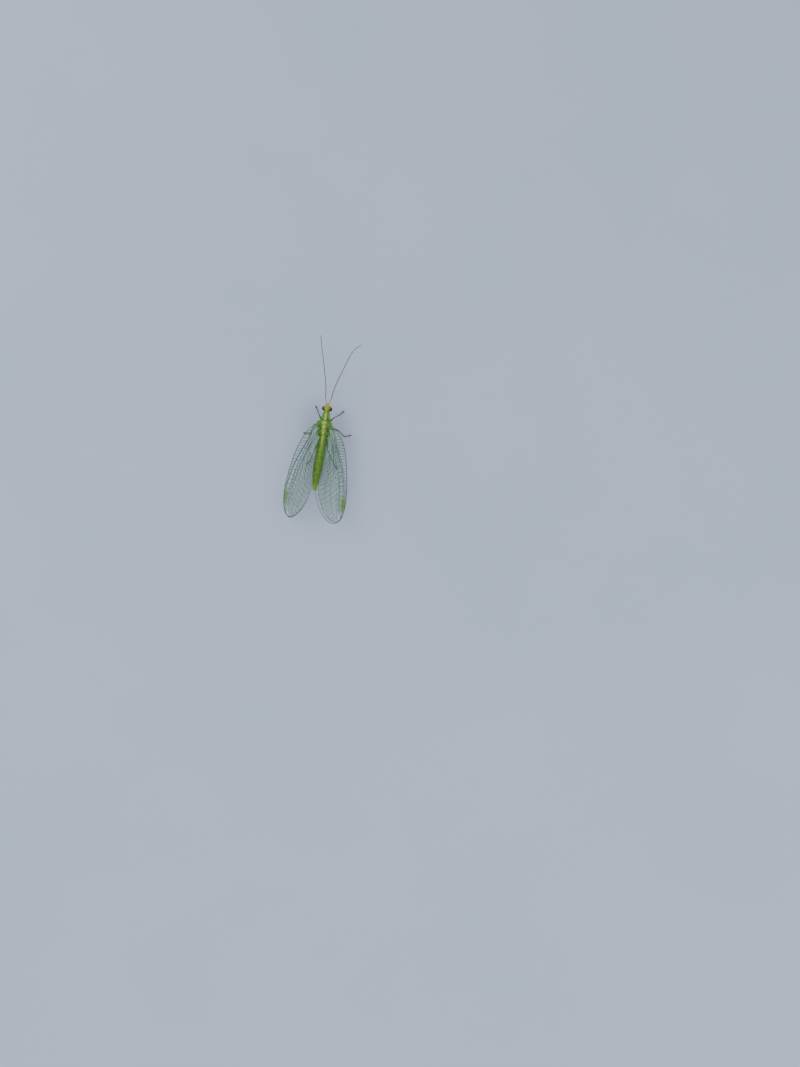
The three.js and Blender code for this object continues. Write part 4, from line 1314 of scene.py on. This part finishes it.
class Wing:
    """A wing's tilted and slightly pleated surface, laid out by its root, its tip and its roll."""

    def __init__(self, name):
        self.name = name
        self.kind, self.side, tip, roll, self.margin, self.room = WING_PLACES[name]
        self.start = on_side(self.kind["root"], self.side)
        along = np.array(tip) - self.start
        self.length = np.linalg.norm(along)
        self.along = along / self.length
        outward = np.cross(self.along, (0.0, 0.0, 1.0))
        outward = outward / np.linalg.norm(outward) * self.side
        turn = Matrix.Rotation(self.side * math.radians(roll), 3, Vector(self.along))
        self.outward = np.array(turn @ Vector(outward))
        self.normal = np.cross(self.outward, self.along) * self.side
        self.seed = 10.0 * list(WING_PLACES).index(name)

    def front(self, u):
        plain = margin_width(np.clip(u, 0, 1), self.kind["root_half"], self.margin)
        return plain * np.clip((u + HINGE_START) / 0.05, 0.03, 1) ** 0.5

    def rear(self, u):
        """The rear margin's distance, with the film kept beside the abdomen."""
        u = np.asarray(u, float)
        plain = margin_width(np.clip(u, 0, 1), self.kind["root_half"], self.kind["rear"])
        x, y = (self.start[k] + u * self.length * self.along[k] for k in (0, 1))
        room = plain
        for _ in range(4):
            back_y = y - self.outward[1] * room
            beside = self.side * (x - middle_x(back_y)) - profile(ABDOMEN_RADIUS, back_y) - self.room
            room = beside / abs(self.outward[0])
        room = room + 2 * smoothstep(y, TAIL_Y - 1.8, TAIL_Y + 1.3)
        return np.maximum(0.5 * (plain + room - np.sqrt((plain - room) ** 2 + 0.01)), np.minimum(plain, 0.02))

    def chord(self, u):
        return self.front(u) + self.rear(u)

    def line(self, name, u):
        return profile(self.kind[name], u)

    def pleat(self, u, v):
        """Height of the surface over the wing's plane: pleats along the main veins and a low camber."""
        fade = smoothstep(u, 0.02, 0.15) * (1 - 0.6 * smoothstep(u, 0.8, 1.0))
        middle, sector = self.line("middle", u), self.line("sector", u)
        height = 0.07 * bell(v, middle + 0.02, 0.05) - 0.06 * bell(v, middle - 0.06, 0.05)
        height -= 0.03 * bell(v, sector, 0.05)
        height += 0.035 * bell(v, self.line("inner", u), 0.07) - 0.03 * bell(v, self.line("outer", u), 0.07)
        camber = 0.1 * np.sin(math.pi * np.clip(v, 0, 1)) ** 1.2 - 0.05
        wave = 0.03 * np.sin(5.3 * u * math.pi + 2.2 * v + self.seed) * np.clip(v, 0, 1)
        return fade * (height + camber + wave)

    def place(self, u, v, height=0.0):
        u, v = np.broadcast_arrays(np.asarray(u, float), np.asarray(v, float))
        u = u + HINGE_SLANT * v * (1 - smoothstep(u, -HINGE_START, 0.14))
        across = self.front(u) - v * self.chord(u)
        rise = self.kind["lift"] * smoothstep(u, 0, 0.12) + self.kind["level"] * smoothstep(u, 0.0, 0.06)
        rise = rise + self.pleat(np.clip(u, 0, 1), v) + height
        return (self.start + np.outer(u.ravel() * self.length, self.along)
                + np.outer(across.ravel(), self.outward) + np.outer(rise.ravel(), self.normal))

    def margin_steps(self, first, count):
        """Shares of the length that part the rear margin, from one share to the tip, into even steps."""
        u = 1 - (1 - first) * (1 - np.linspace(0, 1, 300)) ** 2
        run = run_along(self.place(u, 1.0))
        return np.interp(np.linspace(0, run[-1], count), run, u)


def membrane(wing, thickness, finish):
    """The clear film between the veins, as a thin closed sheet."""
    rows = 1 - (1 - np.linspace(0, 1, 150)) ** 1.35
    rows = np.concatenate([[-HINGE_START, -HINGE_START / 2], rows])
    columns = np.linspace(0, 1, 64)
    u, v = np.meshgrid(rows, columns, indexing="ij")
    points = np.vstack([wing.place(u, v, side * thickness / 2) for side in (1, -1)])
    wide, total = len(columns), len(rows) * len(columns)
    faces = []
    for row in range(len(rows) - 1):
        for k in range(wide - 1):
            a = row * wide + k
            top = (a, a + 1, a + wide + 1, a + wide)
            faces += [top, tuple(total + i for i in top[::-1])]
    rim = list(range(wide)) + [row * wide + wide - 1 for row in range(1, len(rows))]
    rim += [(len(rows) - 1) * wide + k for k in range(wide - 2, -1, -1)]
    rim += [row * wide for row in range(len(rows) - 2, 0, -1)]
    for i, a in enumerate(rim):
        b = rim[(i + 1) % len(rim)]
        faces.append((b, a, total + a, total + b))
    if wing.side < 0:
        faces = [face[::-1] for face in faces]
    piece = mesh_piece(wing.name + "_membrane", points, faces, finish)
    u, v = np.tile(u.ravel(), 2), np.tile(v.ravel(), 2)
    middle = wing.line("middle", np.clip(u, 0, 1))
    patch = smoothstep(u, STIGMA[0] - 0.02, STIGMA[0] + 0.13)
    patch *= 1 - smoothstep(u, STIGMA[1] - 0.12, STIGMA[1])
    patch *= 1 - smoothstep(v, middle + 0.07, middle + 0.19)
    fade = 1.0 if wing.kind is FOREWING else 0.2
    store(piece.data, "stigma", patch * fade)
    store(piece.data, "root", 1 - smoothstep(u + 0.02 * v, -0.01, 0.035))
    return piece


def sampled(wing, us, vs, step=0.09):
    """A vein's line through (u, v) places, stepped finely enough to follow the pleats, and its shares u."""
    run = run_along(wing.place(us, vs))
    count = max(3, int(math.ceil(run[-1] / step)) + 1)
    even = np.linspace(0, run[-1], count)
    stepped = np.interp(even, run, us)
    return wing.place(stepped, np.interp(even, run, vs)), stepped


def swept(start, end, v, first):
    """Share of the length that a branch has reached at v: it runs towards the tip as it goes back."""
    gone = np.clip((v - first) / (1 - first), 0, 1)
    return start + (end - start) * (0.3 * gone + 0.7 * (1 - (1 - gone) ** 2.1))


class VeinNet:
    """Every vein of a wing, kept as lines of (points, radii, shares of green)."""

    def __init__(self, wing, sizes):
        self.wing, self.lines = wing, []
        heavy = wing.kind["heavy"] / MM
        self.main, self.branch, self.cross = (
            size * heavy for size in (sizes.main_vein, sizes.branch_vein, sizes.cross_vein))
        self.chance = np.random.default_rng(int(wing.seed) + 7)
        self.sector_u = np.linspace(SECTOR_START, 0.998, 90)
        self.leaving = smoothstep(self.sector_u, SECTOR_START, SECTOR_START + 0.1)
        radius = self.radius(self.sector_u)
        self.sector_v = radius + (wing.line("sector", self.sector_u) - radius) * self.leaving
        self.add_margins()
        self.add_stems()
        self.add_rungs()
        self.add_radial_veins()
        starts, tracks = self.add_branches()
        self.add_rows(starts, tracks)
        self.add_base(tracks[0])

    def add(self, us, vs, first, last, green=0.1, spotted=0.0):
        """Adds a vein through (u, v) places. A spotted one is thinner and greener in the green spot."""
        path, stepped = sampled(self.wing, us, vs)
        near_root = 1 - smoothstep(stepped, 0.03, 0.24)
        at_spot = spotted * smoothstep(stepped, STIGMA[0], STIGMA[0] + 0.06)
        at_spot = at_spot * (1 - smoothstep(stepped, STIGMA[1] - 0.05, STIGMA[1]))
        shares = green + (0.95 - green) * np.maximum(near_root, 0.6 * at_spot)
        self.lines.append((path, np.linspace(first, last, len(path)) * (1 - 0.45 * at_spot), shares))

    def subcosta(self, u):
        """Where the stem nearest the front margin runs."""
        before = self.wing.line("middle", u) - STEM_GAP / self.wing.chord(u)
        return np.maximum(before, 0) * (1 - smoothstep(u, 0.62, 0.8) ** 1.5)

    def radius(self, u):
        """Where the stem behind it runs."""
        behind = self.wing.line("middle", u) + STEM_GAP / self.wing.chord(u)
        return behind * (1 - smoothstep(u, 0.88, 0.975) ** 1.6)

    def sector(self, u):
        """Where the vein runs that leaves the radius and carries the branches."""
        return np.interp(u, self.sector_u, self.sector_v)

    def add_margins(self):
        """The front margin, and the rear one in three parts that thicken to the tip."""
        reach = 1 - (1 - np.linspace(0, 1, 80)) ** 1.4
        front = np.concatenate([[-HINGE_START], reach])
        self.add(front, np.zeros(81), self.main * 0.95, self.main * 1.15, 0.05, 0.6)
        rim = self.branch * self.wing.kind["rim"]
        for low, high, first, last in ((2, 46, 0.7, 0.9), (45, 60, 0.9, 1.6), (59, 80, 1.6, 2.4)):
            self.add(reach[low:high], np.ones(high - low), rim * first, rim * last, 0.05)

    def add_stems(self):
        u = np.linspace(-HINGE_START, 0.8, 90)
        self.add(u, self.subcosta(np.clip(u, 0, 1)), self.main * 0.75, self.branch, 0.1, 1.0)
        u = np.linspace(-HINGE_START, 0.975, 100)
        self.add(u, self.radius(np.clip(u, 0, 1)), self.main * 1.1, self.main * 0.9, 0.1, 1.0)
        wiggle = 0.006 * np.sin(self.sector_u * 75)
        self.add(self.sector_u, self.sector_v + wiggle * self.leaving, self.main * 0.65, self.branch)

    def add_rungs(self):
        """Crossing veins of the front field, like the rungs of a ladder, and fine ones in the green spot."""
        cells = self.wing.kind["costal_cells"]
        for k in range(cells):
            at = RUNG_STRETCH[0] + RUNG_STRETCH[1] * (k + 0.5) / cells + self.chance.uniform(-0.003, 0.003)
            back = float(self.subcosta(at))
            if back >= 0.015:
                places = [at + 0.012, at + 0.006, at], [0, back / 2, back]
                self.add(*places, self.cross * 2.1, self.cross * 2.4, 0.0)
        for at in np.linspace(0.82, 0.93, 6):
            self.add([at + 0.014, at], [0, float(self.radius(at))], self.cross * 0.8, self.cross * 0.8, 0.7)

    def add_radial_veins(self):
        """Short veins between the two front stems, and from the radius to the sector."""
        self.add([0.07, 0.08], [float(self.subcosta(0.07)), float(self.radius(0.08))], self.cross, self.cross)
        cells = self.wing.kind["radial_cells"]
        for k in range(cells):
            at = RADIAL_STRETCH[0] + RADIAL_STRETCH[1] * (k + 0.5) / cells
            at = at + self.chance.uniform(-0.004, 0.004)
            ends = float(self.radius(at)), float(self.sector(at))
            self.add([at, at - 0.004], ends, self.cross * 1.9, self.cross * 1.7, 0.0)

    def add_branches(self):
        """Branches of the sector, forked before the rear margin: gives their starts and (v, u) tracks."""
        count = self.wing.kind["branches"]
        starts = BRANCH_STRETCH[0] + BRANCH_STRETCH[1] * (np.arange(count) / (count - 1)) ** 0.92
        starts = starts + self.chance.uniform(-0.003, 0.003, count)
        ends = self.wing.margin_steps(0.34, 2 * count)
        tracks = []
        for k, start in enumerate(starts):
            first = float(self.sector(start))
            v = np.linspace(first, 1, 40)
            fork = FORK_AT + self.chance.uniform(-0.03, 0.03)
            tips = ends[2 * k], ends[2 * k + 1]
            track = swept(start, 0.5 * (tips[0] + tips[1]), v, first)
            tracks.append((v, track))
            before = v <= fork
            self.add(track[before], v[before], self.branch * 1.05, self.branch * 0.9, 0.15)
            for tip in tips:
                bend = smoothstep(v, fork - 0.03, 1.0) * (tip - track[-1])
                after = v >= fork - 0.035
                self.add((track + bend)[after], v[after], self.branch * 0.85, self.branch * 0.7)
        return starts, tracks

    def add_rows(self, starts, tracks):
        """The two rows of short veins between the branches, set in steps towards the tip."""
        for row_name, stepped_from in (("inner", 0.42), ("outer", 0.46)):
            for k in range(len(tracks) - 1):
                (v_a, u_a), (v_b, u_b) = tracks[k], tracks[k + 1]
                share = 0.5 * (starts[k] + starts[k + 1])
                row_v = float(self.wing.line(row_name, share))
                stepped = share > stepped_from
                shift = 0.014 if stepped else 0.0
                wobble = self.chance.uniform(-0.006, 0.006)
                if row_v < max(v_a[0], v_b[0]) + 0.04:
                    continue
                a_v, b_v = row_v + shift + wobble, row_v - shift + wobble
                thick = self.cross * 1.15 if stepped else self.main * 0.5
                places = [np.interp(a_v, v_a, u_a), np.interp(b_v, v_b, u_b)], [a_v, b_v]
                self.add(*places, thick, thick, 0.2)

    def add_base(self, first_track):
        """The five stems behind the sector at the wing's base, and the short veins that tie them."""
        first_v, first_u = first_track
        ends = self.wing.line("inner", 0.5), self.wing.line("outer", 0.5)
        plans = [(root_v, np.interp(end_v, first_v, first_u), end_v)
                 for root_v, end_v in zip(FRONT_STEM_ROOTS, ends)]
        plans += [(root_v, end_u, 1.0) for root_v, end_u in REAR_STEMS]
        stems = []
        for root_v, end_u, end_v in plans:
            to_margin = end_v == 1.0
            t = np.linspace(0, 1, 24)
            stem_u = -HINGE_START + (end_u + HINGE_START) * t
            stem_v = root_v + (end_v - root_v) * t ** (2.2 if to_margin else 1.3)
            stems.append((stem_u, stem_v))
            thick = self.main * (0.5 if to_margin else 0.65)
            self.add(stem_u, stem_v, thick, thick * 0.75, 0.45)
        for k in range(len(stems) - 1):
            (front_u, front_v), (rear_u, rear_v) = stems[k], stems[k + 1]
            last = min(front_u[-1], rear_u[-1])
            for at in np.arange(0.05 + 0.012 * k, last - 0.01, TIE_STEP):
                ends = np.interp(at, front_u, front_v), np.interp(at + 0.006, rear_u, rear_v)
                self.add([at, at + 0.006], ends, self.cross, self.cross, 0.2)
        front_u, front_v = stems[0]
        for at in np.arange(0.06, front_u[-1] - 0.01, TIE_STEP):
            top_v = float(self.radius(at) if at < SECTOR_START + 0.05 else self.sector(at))
            ends = top_v, np.interp(at, front_u, front_v)
            self.add([at, at + 0.004], ends, self.cross * 1.05, self.cross * 1.05, 0.2)


class GrowWings(bpy.types.Operator):
    """Four clear wings with their net of veins"""
    bl_idname = "lacewing.wings"
    bl_label = "Grow wings"

    def execute(self, context):
        sizes, colours = context.scene.lacewing_sizes, context.scene.lacewing_colours
        film, vein = membrane_finish(colours, sizes), vein_finish(colours)
        for name in WING_PLACES:
            wing = Wing(name)
            sheet = membrane(wing, sizes.membrane_thickness / MM, film)
            finished(sheet, "wing_membrane", name)
            net = strands(name + "_veins", VeinNet(wing, sizes).lines, vein, sizes.vein_sides)
            away = points_of(net) - wing.start
            along, across = away @ wing.along / wing.length, away @ wing.outward / 6 + 0.5
            keep_for_hairs(net, wing.along * 0.45, (np.clip(along, 0, 1), np.clip(across, 0, 1)))
            finished(net, "wing_membrane")
        return {"FINISHED"}


# Bristles

class GrowBristles(bpy.types.Operator):
    """Short fine hairs on body, legs, feelers and wing veins"""
    bl_idname = "lacewing.bristles"
    bl_label = "Grow bristles"

    def execute(self, context):
        sizes, colours = context.scene.lacewing_sizes, context.scene.lacewing_colours
        pale = hair_finish("pale_bristle", colours, colours.pale_hair, 0.55)
        dark = hair_finish("dark_bristle", colours, colours.dark_hair, 0.85)
        per_area = 1 / MM ** 2
        legs = [f"{pair}_{side_name}" for pair in LEG_ROOTS for side_name in ("left", "right")]
        body_plan = ("body_skin", pale, sizes.body_hairs, sizes.body_hair_length, 1.0, 11, 0.35)
        leg_plan = ("leg", dark, sizes.leg_hairs, sizes.leg_hair_length, 0.8, 23, 0.25)
        feeler_plan = ("antenna", dark, sizes.feeler_hairs, sizes.feeler_hair_length, 0.6, 31, 0.2)
        vein_plan = ("wing_membrane", dark, sizes.vein_hairs, sizes.vein_hair_length, 0.7, 41, 0.3)
        plans = [("body_bristles", "body_skin", body_plan)]
        plans += [("leg_bristles_" + leg, "leg_skin_" + leg, leg_plan) for leg in legs]
        plans += [("feeler_bristles_" + side, "feeler_chain_" + side, feeler_plan) for side in FEELER_ROUTES]
        plans += [(wing + "_bristles", wing + "_veins", vein_plan) for wing in WING_PLACES]
        for name, source, plan in plans:
            slot, finish, number_of, tall, girth, seed, droop = plan
            made = bristles(name, bpy.data.objects[source], finish, number_of * per_area, tall,
                            sizes.hair_thickness * girth, seed, droop)
            finished(made, slot)
        return {"FINISHED"}


# Stage

class SetStage(bpy.types.Operator):
    """Pale floor, soft studio light and the camera over the insect"""
    bl_idname = "lacewing.stage"
    bl_label = "Set stage"

    def execute(self, context):
        scene = context.scene
        sizes, colours = scene.lacewing_sizes, scene.lacewing_colours
        half = 0.6
        floor_mesh = bpy.data.meshes.new("floor")
        floor_mesh.from_pydata([(-half, -half, 0), (half, -half, 0), (half, half, 0), (-half, half, 0)], [],
                               [(0, 1, 2, 3)])
        floor_mesh.materials.append(floor_finish(colours))
        floor = added("floor", floor_mesh)

        target = Vector((0, 0, 0.002))
        for name, place, size, power in (("key", (0.24, -0.12, 0.24), 0.26, sizes.key_light),
                                         ("fill", (-0.26, 0.1, 0.24), 0.26, sizes.fill_light),
                                         ("back", (0.04, 0.28, 0.22), 0.22, sizes.back_light)):
            light = bpy.data.lights.new(name, "AREA")
            light.shape, light.size, light.energy = "DISK", size, power
            holder = added(name, light)
            holder.location = place
            holder.rotation_euler = (target - Vector(place)).to_track_quat("-Z", "Y").to_euler()
        world = bpy.data.worlds.new("soft_sky")
        world.use_nodes = True
        back = next(n for n in world.node_tree.nodes if n.type == "BACKGROUND")
        back.inputs["Color"].default_value = (*colours.sky, 1.0)
        back.inputs["Strength"].default_value = sizes.sky_glow
        scene.world = world

        camera = bpy.data.cameras.new("camera")
        camera.lens, camera.sensor_width, camera.sensor_fit = CAMERA_LENS, CAMERA_SENSOR, "AUTO"
        camera.clip_start, camera.clip_end = 0.001, 10.0
        holder = added("camera", camera)
        tilt = math.radians(CAMERA_TILT)
        right = Vector((-math.cos(tilt), -math.sin(tilt), 0))
        up = Vector((math.sin(tilt), -math.cos(tilt), 0))
        turn = Matrix((right, up, Vector((0, 0, 1)))).transposed()
        holder.rotation_euler = turn.to_euler()
        over = right * CAMERA_RIGHT - up * CAMERA_DOWN
        holder.location = settled([[over.x, over.y, CAMERA_HEIGHT]])[0]
        scene.camera = holder
        return {"FINISHED"}


# Sizes and colours that a user would change

def length(label, description, default):
    """A small size, given in millimetres and kept in metres."""
    return FloatProperty(name=label, description=description, default=default * MM, min=0.0, precision=6,
                         unit="LENGTH")


def number(label, description, default, low=0.0, high=1000.0):
    return FloatProperty(name=label, description=description, default=default, min=low, max=high)


def tint(label, description, red, green, blue):
    return FloatVectorProperty(name=label, description=description, default=(red, green, blue), min=0.0,
                               max=1.0, subtype="COLOR", size=3)


class LacewingSizes(bpy.types.PropertyGroup):
    skin_detail: length("Skin detail", "Smallest form that the body's skin keeps", 0.028)
    facet_fineness: IntProperty(name="Facet fineness", description="Rounds of division of the eye's facets",
                                default=4, min=3, max=6)
    facet_dome: number("Facet dome", "Height of an eye facet as a share of the eye's radius", 0.02, 0.0, 0.1)
    feeler_rings: IntProperty(name="Feeler rings", description="Rings in the long part of a feeler",
                              default=92, min=20, max=140)
    membrane_thickness: length("Membrane thickness", "Thickness of the clear wing film", 0.014)
    membrane_cover: number("Membrane cover", "How much one face of the wing film hides", 0.06, 0.0, 1.0)
    main_vein: length("Main vein radius", "Radius of the strongest wing veins at the root", 0.041)
    branch_vein: length("Branch vein radius", "Radius of the wings' branching veins", 0.0165)
    cross_vein: length("Crossing vein radius", "Radius of the short veins between the long ones", 0.0135)
    vein_sides: IntProperty(name="Vein sides", description="Sides of a wing vein's section", default=6, min=3,
                            max=12)
    body_hairs: number("Body hairs", "Hairs on a square millimetre of the body", 75)
    body_hair_length: length("Body hair length", "Length of a hair on the body", 0.14)
    leg_hairs: number("Leg hairs", "Hairs on a square millimetre of a leg", 260)
    leg_hair_length: length("Leg hair length", "Length of a hair on a leg", 0.085)
    feeler_hairs: number("Feeler hairs", "Hairs on a square millimetre of a feeler", 700, 0.0, 5000.0)
    feeler_hair_length: length("Feeler hair length", "Length of a hair on a feeler", 0.055)
    vein_hairs: number("Vein hairs", "Hairs on a square millimetre of a wing vein", 70)
    vein_hair_length: length("Vein hair length", "Length of a hair on a wing vein", 0.1)
    hair_thickness: length("Hair thickness", "Radius of a body hair at its root", 0.0034)
    key_light: number("Key light", "Power of the light from the front left, in watts", 0.75)
    fill_light: number("Fill light", "Power of the light from the right, in watts", 0.6)
    back_light: number("Back light", "Power of the light from behind, in watts", 0.35)
    sky_glow: number("Sky glow", "Strength of the even light from all round", 0.98)


class LacewingColours(bpy.types.PropertyGroup):
    green: tint("Green", "Main green of the body", 0.077, 0.194, 0.005)
    deep_green: tint("Deep green", "Darker patches of the body", 0.045, 0.135, 0.004)
    # Painted shade on the sides and underside of the body
    underside_shade_green: tint("Flank green", "Sides and underside of the body", 0.059, 0.162, 0.024)
    tail_yellow: tint("Tail", "End of the abdomen", 0.17, 0.235, 0.002)
    face_green: tint("Face", "Front of the head", 0.195, 0.285, 0.008)
    soft_skin: tint("Soft skin", "Folds between the plates", 0.12, 0.23, 0.025)
    # Painted shade at the bottom of the furrows
    crease: tint("Crease", "Bottom of the furrows", 0.025, 0.1, 0.004)
    back_line: tint("Back line", "Pale line along the back", 0.34, 0.42, 0.08)
    blush: tint("Blush", "Skin round the feelers' roots", 0.55, 0.3, 0.22)
    mark: tint("Mark", "Small brown marks on the back", 0.13, 0.1, 0.02)
    eye_dark: tint("Eye, dark", "Darkest facets", 0.014, 0.01, 0.003)
    eye_brown: tint("Eye, brown", "Middle facets", 0.062, 0.039, 0.006)
    # Colour of the painted glint on the eyes
    painted_glint_copper: tint("Eye, copper", "Glinting facets", 0.25, 0.1, 0.013)
    feeler_base: tint("Feeler root", "First joints of a feeler", 0.3, 0.27, 0.14)
    feeler: tint("Feeler", "Long part of a feeler", 0.085, 0.062, 0.048)
    feeler_tip: tint("Feeler tip", "Dark end of a feeler", 0.03, 0.025, 0.022)
    leg_green: tint("Leg root", "Leg near the body", 0.12, 0.25, 0.03)
    leg_grey: tint("Leg", "Middle of a leg", 0.058, 0.052, 0.025)
    foot: tint("Foot", "Foot joints", 0.026, 0.021, 0.014)
    claw: tint("Claw", "Claws and jaw tips", 0.03, 0.018, 0.01)
    membrane: tint("Wing film", "Clear film of the wings", 0.15, 0.33, 0.14)
    membrane_deep: tint("Wing film, deeper", "Denser patches of the film", 0.11, 0.27, 0.11)
    stigma: tint("Wing spot", "Green spot near the wing's tip", 0.092, 0.152, 0.034)
    vein_dark: tint("Vein, dark", "Dark part of the veins", 0.018, 0.028, 0.022)
    vein_green: tint("Vein, green", "Green part of the veins", 0.09, 0.19, 0.05)
    pale_hair: tint("Pale hair", "Hairs of the body", 0.6, 0.6, 0.38)
    dark_hair: tint("Dark hair", "Hairs of legs and feelers", 0.05, 0.045, 0.03)
    floor: tint("Floor", "The plain floor", 0.335, 0.385, 0.48)
    floor_deep: tint("Floor, deeper", "Faint clouds on the floor", 0.32, 0.372, 0.466)
    sky: tint("Sky", "Even light from all round", 0.86, 0.92, 1.0)


STEPS = (GrowBodySkin, GrowEyes, GrowFeelers, GrowMouthparts, GrowLegs, GrowWings, GrowBristles, SetStage)


class LacewingPanel(bpy.types.Panel):
    """Lists the steps that build the insect, and its sizes and colours"""
    bl_idname = "VIEW3D_PT_lacewing"
    bl_label = "Green Lacewing"
    bl_space_type = "VIEW_3D"
    bl_region_type = "UI"
    bl_category = "Lacewing"

    def draw(self, context):
        for step in STEPS:
            self.layout.operator(step.bl_idname)
        for group in (context.scene.lacewing_sizes, context.scene.lacewing_colours):
            box = self.layout.box()
            for key in group.__annotations__:
                box.prop(group, key)


CLASSES = (LacewingSizes, LacewingColours, *STEPS, LacewingPanel)


def register():
    for kind in CLASSES:
        bpy.utils.register_class(kind)
    bpy.types.Scene.lacewing_sizes = PointerProperty(type=LacewingSizes)
    bpy.types.Scene.lacewing_colours = PointerProperty(type=LacewingColours)


def unregister():
    del bpy.types.Scene.lacewing_colours
    del bpy.types.Scene.lacewing_sizes
    for kind in reversed(CLASSES):
        bpy.utils.unregister_class(kind)


def main():
    register()
    bpy.ops.lacewing.body_skin()
    bpy.ops.lacewing.eyes()
    bpy.ops.lacewing.feelers()
    bpy.ops.lacewing.mouthparts()
    bpy.ops.lacewing.legs()
    bpy.ops.lacewing.wings()
    bpy.ops.lacewing.bristles()
    bpy.ops.lacewing.stage()


if __name__ == "__main__":
    main()
